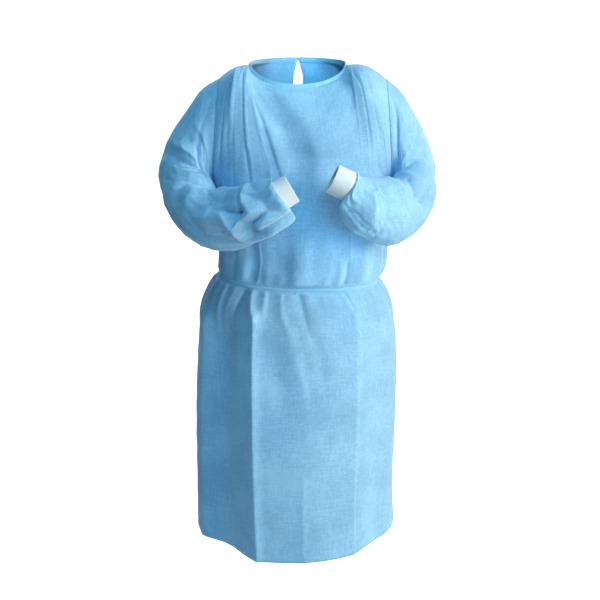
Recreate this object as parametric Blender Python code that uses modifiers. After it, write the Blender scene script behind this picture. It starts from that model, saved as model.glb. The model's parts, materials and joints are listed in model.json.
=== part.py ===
"""A disposable isolation gown of thin nonwoven cloth, filled out as it is when worn.

Both arms are bent so that the cuffs meet in front of the chest, a narrow belt draws in the
waist, and the back is open from the neck tie down to the belt. Metres, +Z up, the front faces
-Y. The origin lies on the shoulders, midway between the two side neck points.
"""

import math
from collections import namedtuple

import bmesh
import bpy
from mathutils import Vector

# Cloth
WALL = 0.0015
SEAM_GAP = 0.0003
RIDGE_GAP = 0.0008  # more where two walls meet over a ridge

# Levels down the body, measured from the side neck points
NECK_LEVEL = 0.0
UNDERARM_LEVEL = -0.275
BELT_LEVEL = -0.486
HEM_LEVEL = -1.121

# The hem stands higher at the sides than in the middle, and this rise dies away up the skirt
HEM_RISE_LEFT = 0.026
HEM_RISE_RIGHT = 0.017
HEM_RISE_REACH = 0.30

# Neck opening
NECK_HALF_WIDTH = 0.112
NECK_FRONT_DEPTH = 0.085
NECK_FRONT_DROP = 0.047
NECK_BACK_DEPTH = 0.072
NECK_BACK_RISE = 0.008
BINDING_WIDTH = 0.009
BINDING_WALL = 0.0024
BINDING_END = 0.0053  # half the space between the binding's ends at the back

# Shoulders and armholes
SHOULDER_SHIFT = 0.010
SHOULDER_HALF_WIDTH = 0.190
SHOULDER_DROP = 0.029
SHOULDER_ARCH = 0.009
ARMHOLE_FRONT = 0.088
ARMHOLE_BACK = 0.084
ARMHOLE_PULL = 0.45  # how far across the panel the armhole's curve is felt

# Belt and ties
BELT_WIDTH = 0.0085
BELT_WALL = 0.0016
BELT_END_ANGLE = 178.2
BELT_TAB_WIDTH = 0.0065
BELT_KNOT_SIZE = (0.014, 0.009, 0.012)
BELT_TAIL_LENGTH = 0.26
NECK_KNOT_SIZE = (0.010, 0.007, 0.0085)
NECK_TAIL_LENGTH = 0.17
NECK_TAIL_WIDTH = 0.008
NECK_TAIL_PARTING = 0.007
LAP_RAISE = 0.0026

# Cuffs
CUFF_RADIUS = 0.0330
CUFF_MOUTH_RADIUS = 0.0315
CUFF_WALL = 0.0016
CUFF_SET_OFF = 0.0009  # clear of the gathers at the sleeve's end
RIB_HEIGHT = 0.0007
RIBS = 24

# Grid sizes
HALF_COLUMNS = 14  # from the middle of the front, or the back, to a side seam
NECK_COLUMNS = 6  # those of them that end on the neckline
YOKE_ROWS = 12
SLEEVE_SIDES = 2 * YOKE_ROWS  # so that sleeves and panels meet corner to corner
SLEEVE_RINGS = 26
NECK_SHARE = NECK_COLUMNS / HALF_COLUMNS

# Each section of the body is a rounded rectangle. Dip lowers the front and lifts the back,
# roll lowers the side at +X, and a higher squareness gives flatter faces.
BodySection = namedtuple(
    "BodySection", "level centre_x half_width front back squareness dip roll"
)
BODY_SECTIONS = (
    BodySection(HEM_LEVEL, -0.006, 0.239, 0.200, 0.185, 2.05, 0.008, 0.000),
    BodySection(-1.000, -0.008, 0.237, 0.196, 0.182, 2.10, 0.004, 0.000),
    BodySection(-0.800, -0.005, 0.239, 0.186, 0.174, 2.20, 0.003, 0.000),
    BodySection(-0.640, -0.002, 0.234, 0.168, 0.160, 2.30, 0.006, 0.000),
    BodySection(-0.560, -0.003, 0.224, 0.152, 0.145, 2.25, 0.009, 0.002),
    BodySection(-0.520, -0.001, 0.208, 0.140, 0.130, 2.20, 0.011, 0.004),
    BodySection(BELT_LEVEL, 0.005, 0.185, 0.126, 0.112, 2.15, 0.013, 0.006),
    BodySection(-0.450, 0.009, 0.190, 0.132, 0.118, 2.20, 0.010, 0.004),
    BodySection(-0.380, 0.010, 0.193, 0.134, 0.122, 2.30, 0.004, 0.000),
    BodySection(UNDERARM_LEVEL, 0.010, 0.204, 0.130, 0.122, 2.50, 0.000, 0.000),
)

# The back edges stand this far short of the middle, in degrees round the body. Below zero
# they lap over each other.
BackEdge = namedtuple("BackEdge", "level angle")
BACK_EDGES = (
    BackEdge(HEM_LEVEL, -4.0),
    BackEdge(-0.800, -6.5),
    BackEdge(-0.530, -7.5),
    BackEdge(BELT_LEVEL, -7.0),
    BackEdge(-0.440, -3.0),
    BackEdge(-0.380, 3.0),
    BackEdge(-0.250, 8.0),
    BackEdge(-0.120, 6.0),
    BackEdge(-0.045, 3.0),
    BackEdge(NECK_LEVEL, 0.4),
)

# A fold runs from one place on the cloth to another. Its height is above the cloth, and below
# zero it is a trough. A sharpness of 1 gives a pressed crease and 2 a soft roll.
BodyFold = namedtuple(
    "BodyFold", "angle_1 level_1 angle_2 level_2 height width sharpness"
)
BODY_FOLDS = (
    # Pressed lines from the pack, down the front and the back
    BodyFold(-19.3, -0.525, -19.3, -1.160, 0.012, 0.030, 1.2),
    BodyFold(25.7, -0.500, 25.7, -1.160, 0.008, 0.028, 1.2),
    BodyFold(-25.7, -0.100, -25.7, -0.455, 0.006, 0.016, 1.2),
    BodyFold(25.7, -0.100, 25.7, -0.455, 0.005, 0.016, 1.2),
    BodyFold(152.0, -0.540, 150.0, -1.160, 0.008, 0.030, 1.3),
    BodyFold(-152.0, -0.540, -150.0, -1.160, 0.008, 0.030, 1.3),
    # The skirt's side fronts lie flatter between the creases
    BodyFold(-52.0, -0.640, -50.0, -1.160, -0.028, 0.072, 2.0),
    BodyFold(52.0, -0.680, 52.0, -1.160, -0.011, 0.050, 2.0),
    BodyFold(6.4, -0.800, 6.4, -1.160, 0.004, 0.060, 2.0),
    # Fullness drawn in by the belt, at the front
    BodyFold(-25.7, -0.505, -22.0, -0.560, 0.007, 0.014, 1.6),
    BodyFold(-12.9, -0.503, -6.4, -0.600, 0.007, 0.016, 1.6),
    BodyFold(0.0, -0.505, 6.4, -0.640, -0.007, 0.016, 1.6),
    BodyFold(25.7, -0.505, 30.0, -0.580, -0.005, 0.012, 1.5),
    BodyFold(-45.0, -0.505, -47.0, -0.640, 0.006, 0.022, 1.8),
    BodyFold(-70.0, -0.505, -68.0, -0.620, 0.006, 0.022, 1.8),
    BodyFold(48.0, -0.505, 47.0, -0.640, 0.006, 0.022, 1.8),
    BodyFold(70.0, -0.505, 68.0, -0.640, 0.005, 0.022, 1.8),
    # and at the back
    BodyFold(108.0, -0.505, 110.0, -0.640, 0.006, 0.022, 1.8),
    BodyFold(132.0, -0.505, 134.0, -0.660, 0.007, 0.024, 1.8),
    BodyFold(158.0, -0.505, 160.0, -0.640, 0.006, 0.022, 1.8),
    BodyFold(-108.0, -0.505, -110.0, -0.640, 0.006, 0.022, 1.8),
    BodyFold(-132.0, -0.505, -134.0, -0.660, 0.007, 0.024, 1.8),
    BodyFold(-158.0, -0.505, -160.0, -0.640, 0.006, 0.022, 1.8),
    # Blousing over the belt
    BodyFold(-38.6, -0.380, -42.0, -0.462, 0.008, 0.024, 2.0),
    BodyFold(38.6, -0.390, 45.0, -0.462, 0.008, 0.026, 2.0),
    BodyFold(0.0, -0.340, 0.0, -0.460, -0.004, 0.030, 2.0),
    BodyFold(80.0, -0.360, 82.0, -0.455, 0.010, 0.030, 2.0),
    BodyFold(125.0, -0.330, 128.0, -0.462, 0.008, 0.026, 2.0),
    BodyFold(-80.0, -0.380, -82.0, -0.455, 0.003, 0.030, 2.0),
    BodyFold(-125.0, -0.330, -128.0, -0.462, 0.008, 0.026, 2.0),
    # Drapes from the side neck points and beside the armholes
    BodyFold(-38.6, -0.030, -12.9, -0.280, -0.006, 0.018, 1.8),
    BodyFold(-38.6, -0.060, -32.1, -0.300, 0.005, 0.016, 1.6),
    BodyFold(-51.4, -0.060, -45.0, -0.300, -0.005, 0.018, 1.8),
    BodyFold(-64.3, -0.080, -57.9, -0.280, 0.003, 0.018, 1.8),
    BodyFold(38.6, -0.040, 38.6, -0.300, -0.006, 0.016, 1.6),
    BodyFold(48.0, -0.050, 48.0, -0.300, 0.005, 0.016, 1.8),
    BodyFold(57.9, -0.060, 57.9, -0.270, -0.005, 0.018, 1.8),
    BodyFold(0.0, -0.120, 6.4, -0.400, -0.004, 0.022, 2.0),
    BodyFold(12.9, -0.140, 19.3, -0.440, 0.006, 0.030, 2.0),
    BodyFold(125.0, -0.050, 132.0, -0.320, -0.007, 0.022, 1.8),
    BodyFold(-125.0, -0.050, -132.0, -0.320, -0.007, 0.022, 1.8),
    BodyFold(142.0, -0.040, 150.0, -0.360, 0.005, 0.020, 1.6),
    BodyFold(-142.0, -0.040, -150.0, -0.360, 0.005, 0.020, 1.6),
)

# A sleeve is a row of rings along the bent arm, each given by its outermost point, on the side
# of the shoulder and elbow, its innermost point, and how far it bulges to front and back.
SleeveSection = namedtuple(
    "SleeveSection", "along outer_x outer_y outer_z inner_x inner_y inner_z front back"
)
RIGHT_SLEEVE = (
    SleeveSection(0.00, -0.180, 0.000, -0.029, -0.194, 0.000, -0.275, 0.088, 0.084),
    SleeveSection(0.08, -0.222, 0.000, -0.053, -0.199, -0.002, -0.281, 0.088, 0.084),
    SleeveSection(0.16, -0.258, -0.001, -0.103, -0.203, -0.006, -0.287, 0.087, 0.083),
    SleeveSection(0.25, -0.298, -0.006, -0.168, -0.205, -0.014, -0.290, 0.086, 0.082),
    SleeveSection(0.34, -0.321, -0.018, -0.240, -0.206, -0.030, -0.288, 0.083, 0.080),
    SleeveSection(0.43, -0.312, -0.033, -0.294, -0.204, -0.062, -0.283, 0.078, 0.068),
    SleeveSection(0.52, -0.281, -0.060, -0.336, -0.196, -0.098, -0.272, 0.072, 0.056),
    SleeveSection(0.61, -0.238, -0.094, -0.377, -0.176, -0.130, -0.264, 0.066, 0.048),
    SleeveSection(0.70, -0.191, -0.130, -0.402, -0.150, -0.156, -0.259, 0.062, 0.044),
    SleeveSection(0.79, -0.142, -0.158, -0.400, -0.118, -0.178, -0.252, 0.060, 0.047),
    SleeveSection(0.87, -0.094, -0.186, -0.379, -0.084, -0.198, -0.241, 0.058, 0.046),
    SleeveSection(0.92, -0.050, -0.206, -0.355, -0.062, -0.209, -0.236, 0.053, 0.044),
    SleeveSection(0.96, -0.014, -0.214, -0.328, -0.056, -0.213, -0.236, 0.046, 0.041),
    SleeveSection(1.00, -0.028, -0.218, -0.303, -0.062, -0.218, -0.244, 0.034, 0.034),
)
LEFT_SLEEVE = (
    SleeveSection(0.00, 0.200, 0.000, -0.029, 0.214, 0.000, -0.275, 0.088, 0.084),
    SleeveSection(0.08, 0.236, 0.000, -0.057, 0.219, -0.002, -0.281, 0.088, 0.084),
    SleeveSection(0.16, 0.267, 0.000, -0.106, 0.223, -0.006, -0.287, 0.087, 0.083),
    SleeveSection(0.25, 0.300, -0.004, -0.172, 0.225, -0.014, -0.290, 0.086, 0.082),
    SleeveSection(0.34, 0.317, -0.012, -0.240, 0.226, -0.030, -0.288, 0.083, 0.078),
    SleeveSection(0.43, 0.301, -0.030, -0.292, 0.224, -0.064, -0.280, 0.078, 0.064),
    SleeveSection(0.52, 0.288, -0.062, -0.337, 0.218, -0.098, -0.266, 0.072, 0.050),
    SleeveSection(0.61, 0.248, -0.100, -0.375, 0.204, -0.132, -0.254, 0.066, 0.042),
    SleeveSection(0.70, 0.206, -0.136, -0.394, 0.182, -0.158, -0.248, 0.062, 0.038),
    SleeveSection(0.79, 0.165, -0.166, -0.378, 0.160, -0.180, -0.244, 0.060, 0.042),
    SleeveSection(0.87, 0.136, -0.182, -0.364, 0.144, -0.192, -0.238, 0.058, 0.046),
    SleeveSection(0.92, 0.114, -0.200, -0.350, 0.135, -0.204, -0.231, 0.053, 0.044),
    SleeveSection(0.96, 0.099, -0.208, -0.326, 0.129, -0.210, -0.224, 0.046, 0.041),
    SleeveSection(1.00, 0.096, -0.216, -0.282, 0.126, -0.216, -0.220, 0.034, 0.034),
)
RIGHT_CUFF_MOUTH = Vector((-0.013, -0.2155, -0.2545))
LEFT_CUFF_MOUTH = Vector((0.0745, -0.217, -0.2335))

# Folds on a sleeve: turn is in degrees, 0 at the shoulder and elbow, 90 at the front.
SleeveFold = namedtuple(
    "SleeveFold", "turn_1 along_1 turn_2 along_2 height width sharpness"
)
RIGHT_SLEEVE_FOLDS = (
    # Round the elbow, from the inner bend outwards
    SleeveFold(30.0, 0.29, 150.0, 0.33, 0.0091, 0.014, 1.6),
    SleeveFold(45.0, 0.37, 150.0, 0.38, -0.0091, 0.012, 1.6),
    SleeveFold(70.0, 0.45, 160.0, 0.42, 0.0078, 0.014, 1.8),
    SleeveFold(215.0, 0.36, 320.0, 0.33, -0.0078, 0.016, 1.8),
    SleeveFold(210.0, 0.48, 330.0, 0.50, -0.0065, 0.016, 1.8),
    # Along the forearm and before the gathered end
    SleeveFold(75.0, 0.50, 40.0, 0.74, 0.0078, 0.013, 1.6),
    SleeveFold(110.0, 0.56, 80.0, 0.70, -0.0065, 0.013, 1.8),
    SleeveFold(150.0, 0.74, 30.0, 0.86, -0.0078, 0.011, 1.6),
    SleeveFold(150.0, 0.83, 60.0, 0.93, 0.0065, 0.012, 1.8),
    SleeveFold(230.0, 0.80, 330.0, 0.82, -0.0052, 0.014, 1.8),
    # Down the upper arm
    SleeveFold(60.0, 0.06, 100.0, 0.26, -0.0078, 0.016, 1.8),
    SleeveFold(330.0, 0.05, 300.0, 0.24, -0.0065, 0.018, 1.8),
)
LEFT_SLEEVE_FOLDS = (
    SleeveFold(25.0, 0.24, 150.0, 0.33, 0.0078, 0.013, 1.6),
    SleeveFold(10.0, 0.32, 150.0, 0.36, -0.0078, 0.012, 1.6),
    SleeveFold(15.0, 0.40, 130.0, 0.40, 0.0065, 0.013, 1.6),
    SleeveFold(20.0, 0.46, 80.0, 0.47, -0.0078, 0.012, 1.6),
    SleeveFold(215.0, 0.36, 320.0, 0.33, -0.0078, 0.016, 1.8),
    SleeveFold(210.0, 0.48, 330.0, 0.50, -0.0065, 0.016, 1.8),
    SleeveFold(135.0, 0.57, 50.0, 0.50, -0.0110, 0.016, 1.6),
    SleeveFold(150.0, 0.70, 40.0, 0.76, 0.0078, 0.012, 1.6),
    SleeveFold(130.0, 0.80, 40.0, 0.86, -0.0065, 0.012, 1.6),
    SleeveFold(230.0, 0.80, 330.0, 0.82, -0.0052, 0.014, 1.8),
    SleeveFold(45.0, 0.05, 80.0, 0.14, -0.0078, 0.014, 1.8),
    SleeveFold(90.0, 0.16, 140.0, 0.27, -0.0078, 0.014, 1.8),
    SleeveFold(330.0, 0.05, 300.0, 0.24, -0.0065, 0.018, 1.8),
)


def smooth(share):
    """Eases from 0 to 1 as the share goes from 0 to 1."""
    share = min(max(share, 0.0), 1.0)
    return share * share * (3 - 2 * share)


def mix(first, second, share):
    return first + (second - first) * share


def read(rows, column, place):
    """One column of a table, at a place between its rows, on a smooth curve through them."""
    keys = [row[0] for row in rows]
    values = [getattr(row, column) for row in rows]
    place = min(max(place, keys[0]), keys[-1])
    low = max(i for i in range(len(rows) - 1) if keys[i] <= place)
    span = keys[low + 1] - keys[low]

    def slope(i):
        before, after = max(i - 1, 0), min(i + 1, len(rows) - 1)
        return (values[after] - values[before]) / (keys[after] - keys[before])

    t = (place - keys[low]) / span
    return (
        values[low] * (1 + 2 * t) * (1 - t) ** 2
        + slope(low) * span * t * (1 - t) ** 2
        + values[low + 1] * t * t * (3 - 2 * t)
        + slope(low + 1) * span * t * t * (t - 1)
    )


def fold_height(folds, place, metres_per_degree, metres_along):
    """Adds up the folds at a place, given as (degrees round, place along)."""
    total = 0.0
    here = Vector((place[0] * metres_per_degree, place[1] * metres_along))
    for fold in folds:
        start = Vector((fold[0] * metres_per_degree, fold[1] * metres_along))
        run = Vector((fold[2] * metres_per_degree, fold[3] * metres_along)) - start
        share = min(max((here - start).dot(run) / run.length_squared, 0.0), 1.0)
        away = (here - start - run * share).length / fold.width
        if away < 4:
            total += fold.height * math.exp(-(away**fold.sharpness))
    return total


# Shape of the body


def power(value, exponent):
    return math.copysign(abs(value) ** exponent, value)


def hem_rise(angle, level):
    """How far the hem's rise at the sides lifts a point of the skirt."""
    sine = math.sin(math.radians(angle))
    near_hem = smooth((HEM_RISE_REACH - (level - HEM_LEVEL)) / HEM_RISE_REACH)
    return (HEM_RISE_LEFT if sine > 0 else HEM_RISE_RIGHT) * abs(sine) ** 3 * near_hem


def section_point(angle, level):
    """A point on the body's plain section, with angle 0 at the front and 90 at +X."""
    sine, cosine = math.sin(math.radians(angle)), math.cos(math.radians(angle))
    exponent = 2 / read(BODY_SECTIONS, "squareness", level)
    depth = read(BODY_SECTIONS, "front" if cosine > 0 else "back", level)
    return Vector(
        (
            read(BODY_SECTIONS, "centre_x", level)
            + read(BODY_SECTIONS, "half_width", level) * power(sine, exponent),
            -depth * power(cosine, exponent),
            level
            + hem_rise(angle, level)
            - read(BODY_SECTIONS, "dip", level) * cosine
            - read(BODY_SECTIONS, "roll", level) * sine,
        )
    )


def neck_point(side, turn, back):
    """A point on the neckline: turn is 0 at the middle and 90 at the side neck point."""
    sine, cosine = math.sin(math.radians(turn)), math.cos(math.radians(turn))
    if back:
        return Vector(
            (side * NECK_HALF_WIDTH * sine, NECK_BACK_DEPTH * cosine, NECK_BACK_RISE * cosine)
        )
    return Vector(
        (side * NECK_HALF_WIDTH * sine, -NECK_FRONT_DEPTH * cosine, -NECK_FRONT_DROP * cosine)
    )


def shoulder_tip(side):
    return Vector((SHOULDER_SHIFT + side * SHOULDER_HALF_WIDTH, 0.0, -SHOULDER_DROP))


def armhole_point(side, turn):
    """A point on the armhole, with turn 0 at the shoulder tip, 90 at the front, 180 below."""
    sine, cosine = math.sin(math.radians(turn)), math.cos(math.radians(turn))
    point = section_point(side * 90, UNDERARM_LEVEL).lerp(
        shoulder_tip(side), (1 + cosine) / 2
    )
    point.y -= (ARMHOLE_FRONT if sine > 0 else ARMHOLE_BACK) * sine
    return point


def top_point(side, across, back):
    """The upper edge of a body panel: the neckline, then the shoulder seam."""
    if across <= NECK_SHARE:
        return neck_point(side, 90 * across / NECK_SHARE, back)
    share = (across - NECK_SHARE) / (1 - NECK_SHARE)
    point = neck_point(side, 90, back).lerp(shoulder_tip(side), share)
    point.z += SHOULDER_ARCH * math.sin(math.pi * share)
    return point


def top_gap(across):
    """The gap left at a panel's upper edge, wider along the shoulder's ridge."""
    return SEAM_GAP / 2 + RIDGE_GAP * smooth((across / NECK_SHARE - 0.4) / 0.4)


def rise_between(low, high, share, rounding):
    """A path up the chest: with rounding 1 it arrives level, as cloth does on a shoulder."""
    turn = share * math.pi / 2
    keep = mix(1 - share**1.6, math.cos(turn) ** 0.65, rounding)
    lift = mix(share, math.sin(turn), rounding)
    return Vector(
        (
            mix(low.x, high.x, smooth(share)),
            mix(high.y, low.y, keep),
            mix(low.z, high.z, lift),
        )
    )


def base_point(angle, level):
    """A point on the body without its folds."""
    if level <= UNDERARM_LEVEL:
        return section_point(angle, level)
    side = 1 if angle > 0 else -1
    back = abs(angle) > 90
    across = (180 - abs(angle)) / 90 if back else abs(angle) / 90
    share = (level - UNDERARM_LEVEL) / (NECK_LEVEL - UNDERARM_LEVEL)
    rounding = smooth(across / NECK_SHARE)
    point = rise_between(
        section_point(angle, UNDERARM_LEVEL), top_point(side, across, back), share, rounding
    )
    middle = rise_between(
        section_point(180 if back else 0, UNDERARM_LEVEL), top_point(side, 0, back), share, 0
    )
    plain_edge = rise_between(
        section_point(side * 90, UNDERARM_LEVEL), shoulder_tip(side), share, 1.0
    )
    armhole = armhole_point(side, 180 * (1 + share) if back else 180 * (1 - share))
    pull = smooth((across - 1 + ARMHOLE_PULL) / ARMHOLE_PULL)
    deep = armhole.y + point.y * (middle.y - armhole.y) / middle.y
    point += (armhole - plain_edge) * pull
    return Vector((point.x, deep, point.z))


def body_normal(angle, level):
    """The direction out of the cloth."""
    step, low = 0.5, min(level, NECK_LEVEL - 0.004)
    round_it = base_point(angle + step, low) - base_point(angle - step, low)
    up = base_point(angle, low + 0.004) - base_point(angle, low - 0.004)
    return round_it.cross(up).normalized()


def fold_fade(angle, level):
    """Folds die away under the belt, and where panels are sewn at armhole and shoulder."""
    if level <= UNDERARM_LEVEL:
        return smooth((abs(level - BELT_LEVEL) - BELT_WIDTH / 2) / 0.020)
    across = (180 - abs(angle)) / 90 if abs(angle) > 90 else abs(angle) / 90
    return smooth((NECK_LEVEL - level) / 0.03) * smooth((1 - across) / 0.12)


def body_point(angle, level, lift=0.0):
    """A point on the folded cloth of the body, lifted off it by a given amount."""
    height = fold_height(BODY_FOLDS, (angle, level), 0.0036, 1.0) * fold_fade(angle, level)
    return base_point(angle, level) + body_normal(angle, level) * (height + lift)


# Shape of a sleeve


def ring_end(rows, end, along):
    return Vector([read(rows, f"{end}_{axis}", along) for axis in "xyz"])


def ring_centre(rows, along):
    return ring_end(rows, "outer", along).lerp(ring_end(rows, "inner", along), 0.5)


def ring_frame(rows, mouth, along):
    """A ring's centre, half its height, and its directions up and forward.

    Its plane holds the line from its inner to its outer point, and otherwise crosses the arm.
    The last ring is square to the cuff.
    """
    side = 1 if rows[0].outer_x > 0 else -1
    tall = ring_end(rows, "outer", along) - ring_end(rows, "inner", along)
    ahead, behind = (ring_centre(rows, along + step) for step in (0.06, -0.06))
    cuff_axis = (mouth - ring_centre(rows, 1.0)).normalized()
    tangent = (ahead - behind).normalized().lerp(cuff_axis, smooth((along - 0.85) / 0.15))
    tangent.normalize()
    squared = smooth((along - 0.95) / 0.05)
    up = (tall.normalized() - tangent * tall.normalized().dot(tangent) * squared).normalized()
    forward = (tangent.cross(up) * side).normalized()
    return ring_centre(rows, along), tall.length / 2, up, forward


def ring_point(rows, frame, along, turn, lift=0.0):
    """A point on a ring, with turn 0 at the outer point and 90 at the front."""
    centre, high, up, forward = frame
    sine, cosine = math.sin(math.radians(turn)), math.cos(math.radians(turn))
    wide = read(rows, "front" if sine > 0 else "back", along)
    return centre + up * (high + lift) * cosine + forward * (wide + lift) * sine


def sleeve_point(rows, folds, mouth, frame, along, turn):
    """A point on the folded cloth of a sleeve, which starts on the armhole."""
    side = 1 if rows[0].outer_x > 0 else -1
    fade = smooth(along / 0.06) * smooth((1 - along) / 0.05)
    lift = fade * sum(
        fold_height(folds, (turn + wrap, along), 0.0014, 0.55) for wrap in (-360, 0, 360)
    )
    start = armhole_point(side, turn)
    start.x += side * (SEAM_GAP / 2 + RIDGE_GAP * max(math.cos(math.radians(turn)), 0.0))
    plain = ring_point(rows, ring_frame(rows, mouth, 0.0), 0.0, turn)
    keep = 1 - smooth(along / 0.3)
    return ring_point(rows, frame, along, turn, lift) + (start - plain) * keep


def sleeve_rings(rows, folds, mouth, places, sides):
    """The rings of a sleeve, from the armhole to the cuff."""
    rings = []
    for along in places:
        frame = ring_frame(rows, mouth, along)
        turns = [360 * i / sides for i in range(sides)]
        rings.append([sleeve_point(rows, folds, mouth, frame, along, turn) for turn in turns])
    return rings


# Solids


def material(name, colour, roughness):
    made = bpy.data.materials.new(name)
    made.use_nodes = True
    shader = made.node_tree.nodes["Principled BSDF"]
    shader.inputs["Base Color"].default_value = (*colour, 1.0)
    shader.inputs["Roughness"].default_value = roughness
    shader.inputs["Metallic"].default_value = 0.0
    return made


def add_object(name, bm, finish):
    mesh = bpy.data.meshes.new(name)
    bm.to_mesh(mesh)
    bm.free()
    obj = bpy.data.objects.new(name, mesh)
    GOWN.objects.link(obj)
    mesh.materials.append(finish)
    mesh.shade_smooth()
    return obj


def thicken(obj, thickness, offset, even=True):
    """Gives a sheet its wall. An even wall would throw spikes in the crook of a sleeve."""
    wall = obj.modifiers.new("wall", "SOLIDIFY")
    wall.thickness = thickness
    wall.offset = offset
    wall.use_even_offset = even
    wall.use_quality_normals = True
    return obj


def cloth_grid(name, columns, rows, place, finish, thickness=WALL, offset=-1.0):
    """A sheet laid out as columns by rows of faces, each corner set by place(column, row)."""
    bm = bmesh.new()
    bmesh.ops.create_grid(bm, x_segments=columns, y_segments=rows, size=0.5)
    for vert in bm.verts:
        column = round((vert.co.x + 0.5) * columns)
        row = round((vert.co.y + 0.5) * rows)
        vert.co = place(column, row)
    return thicken(add_object(name, bm, finish), thickness, offset)


def extruded_rings(rings):
    """A tube grown ring by ring, each ring extruded from the one before."""
    bm = bmesh.new()
    sides = len(rings[0])
    verts = bmesh.ops.create_circle(bm, segments=sides, radius=1.0)["verts"]
    for vert, point in zip(verts, rings[0]):
        vert.co = point
    for ring in rings[1:]:
        edges = [bm.edges.get((verts[i - 1], verts[i])) for i in range(sides)]
        grown = bmesh.ops.extrude_edge_only(bm, edges=edges)["geom"]
        fresh = {v for v in grown if isinstance(v, bmesh.types.BMVert)}
        verts = [
            next(e.other_vert(v) for e in v.link_edges if e.other_vert(v) in fresh)
            for v in verts
        ]
        for vert, point in zip(verts, ring):
            vert.co = point
    return bm


def tube_cloth(name, rings, finish):
    bm = extruded_rings(rings)
    bmesh.ops.recalc_face_normals(bm, faces=bm.faces)
    return thicken(add_object(name, bm, finish), WALL, -1.0, even=False)


def closed_ring_solid(name, rings, finish):
    """A solid ring, such as a cuff: its rings run along the outside and back inside."""
    bm = extruded_rings(rings)
    open_edges = [edge for edge in bm.edges if edge.is_boundary]
    bmesh.ops.bridge_loops(bm, edges=open_edges)
    bmesh.ops.recalc_face_normals(bm, faces=bm.faces)
    return add_object(name, bm, finish)


# Pieces of the gown


def body_levels():
    """The levels of the rows of faces below the armholes, closest where the belt draws in."""
    stretches = (
        (HEM_LEVEL, -0.640, 6),
        (-0.640, -0.540, 4),
        (-0.540, BELT_LEVEL - BELT_WIDTH / 2, 3),
        (BELT_LEVEL - BELT_WIDTH / 2, BELT_LEVEL + BELT_WIDTH / 2, 1),
        (BELT_LEVEL + BELT_WIDTH / 2, -0.440, 2),
        (-0.440, UNDERARM_LEVEL, 5),
        (UNDERARM_LEVEL, NECK_LEVEL, YOKE_ROWS),
    )
    levels = [
        mix(low, high, i / count) for low, high, count in stretches for i in range(count)
    ]
    return levels + [NECK_LEVEL]


def inset(point, towards, gap):
    """Moves a point on a seam a little towards its own panel."""
    return point + (towards - point).normalized() * gap


def make_front(cloth):
    levels = body_levels()

    def place(column, row):
        angle = 90 * (column / HALF_COLUMNS - 1)
        point = body_point(angle, levels[row])
        if column in (0, 2 * HALF_COLUMNS):
            inner = angle * (1 - 1 / HALF_COLUMNS)
            point = inset(point, body_point(inner, levels[row]), SEAM_GAP / 2)
        if row == len(levels) - 1:
            below = body_point(angle, levels[row - 1])
            point = inset(point, below, top_gap(abs(angle) / 90))
        return point

    return cloth_grid("front", 2 * HALF_COLUMNS, len(levels) - 1, place, cloth)


def back_angle(column, level):
    """The angle of a corner of the back, counted in columns from the side seam."""
    shoulder = HALF_COLUMNS - NECK_COLUMNS
    corner = 180 - 90 * NECK_SHARE
    if column <= shoulder:
        return mix(90.001, corner, column / shoulder)  # just behind the side seam
    edge = 180 - read(BACK_EDGES, "angle", level)
    return mix(corner, edge, (column - shoulder) / NECK_COLUMNS)


def lap_raise(angle, level):
    """The left back panel steps out over the right one where they lap."""
    lap = -read(BACK_EDGES, "angle", level)
    across = smooth((angle - 180 + max(lap, 0) + 8) / 6)
    return LAP_RAISE * across * smooth((-0.33 - level) / 0.06)


def make_back(name, side, cloth):
    levels = body_levels()

    def spot(column, row):
        angle = back_angle(column, levels[row])
        lift = lap_raise(angle, levels[row]) if side > 0 else 0.0
        return body_point(side * angle, levels[row], lift)

    def place(column, row):
        if side < 0:
            column = HALF_COLUMNS - column
        point = spot(column, row)
        if column == 0:
            point = inset(point, spot(1, row), SEAM_GAP / 2)
        if row == len(levels) - 1:
            across = 1 - column / HALF_COLUMNS
            point = inset(point, spot(column, row - 1), top_gap(across))
        return point

    return cloth_grid(name, HALF_COLUMNS, len(levels) - 1, place, cloth)


def make_sleeve(name, rows, folds, mouth, cloth):
    places = [i / (SLEEVE_RINGS - 1) for i in range(SLEEVE_RINGS)]
    return tube_cloth(name, sleeve_rings(rows, folds, mouth, places, SLEEVE_SIDES), cloth)


def make_cuff(name, rows, mouth, knit):
    """A ribbed knit cuff, plain inside, that carries on from the sleeve's end."""
    centre, _, up, forward = ring_frame(rows, mouth, 1.0)
    axis = (mouth - centre).normalized()
    start = centre + axis * (SEAM_GAP + CUFF_SET_OFF)
    count = RIBS * 2

    def ring(share, inside):
        radius = mix(CUFF_RADIUS, CUFF_MOUTH_RADIUS, share)
        points = []
        for i in range(count):
            turn = 2 * math.pi * i / count
            reach = radius - CUFF_WALL if inside else radius + RIB_HEIGHT * (i % 2)
            around = up * math.cos(turn) + forward * math.sin(turn)
            points.append(start.lerp(mouth, share) + around * reach)
        return points

    rings = [ring(share, False) for share in (0.0, 0.5, 1.0)]
    rings += [ring(share, True) for share in (1.0, 0.0)]
    return closed_ring_solid(name, rings, knit)


def neck_loop(turn):
    """The neckline as one loop, with turn 0 at the middle front and 180 at the middle back."""
    side = 1 if turn >= 0 else -1
    back = abs(turn) > 90
    return neck_point(side, 180 - abs(turn) if back else abs(turn), back)


def binding_direction(turn):
    """The binding stands up at front and back, and leans in at the sides."""
    sine, cosine = math.sin(math.radians(turn)), math.cos(math.radians(turn))
    return Vector((-0.55 * sine, 0.35 * cosine, 1.0)).normalized()


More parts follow.
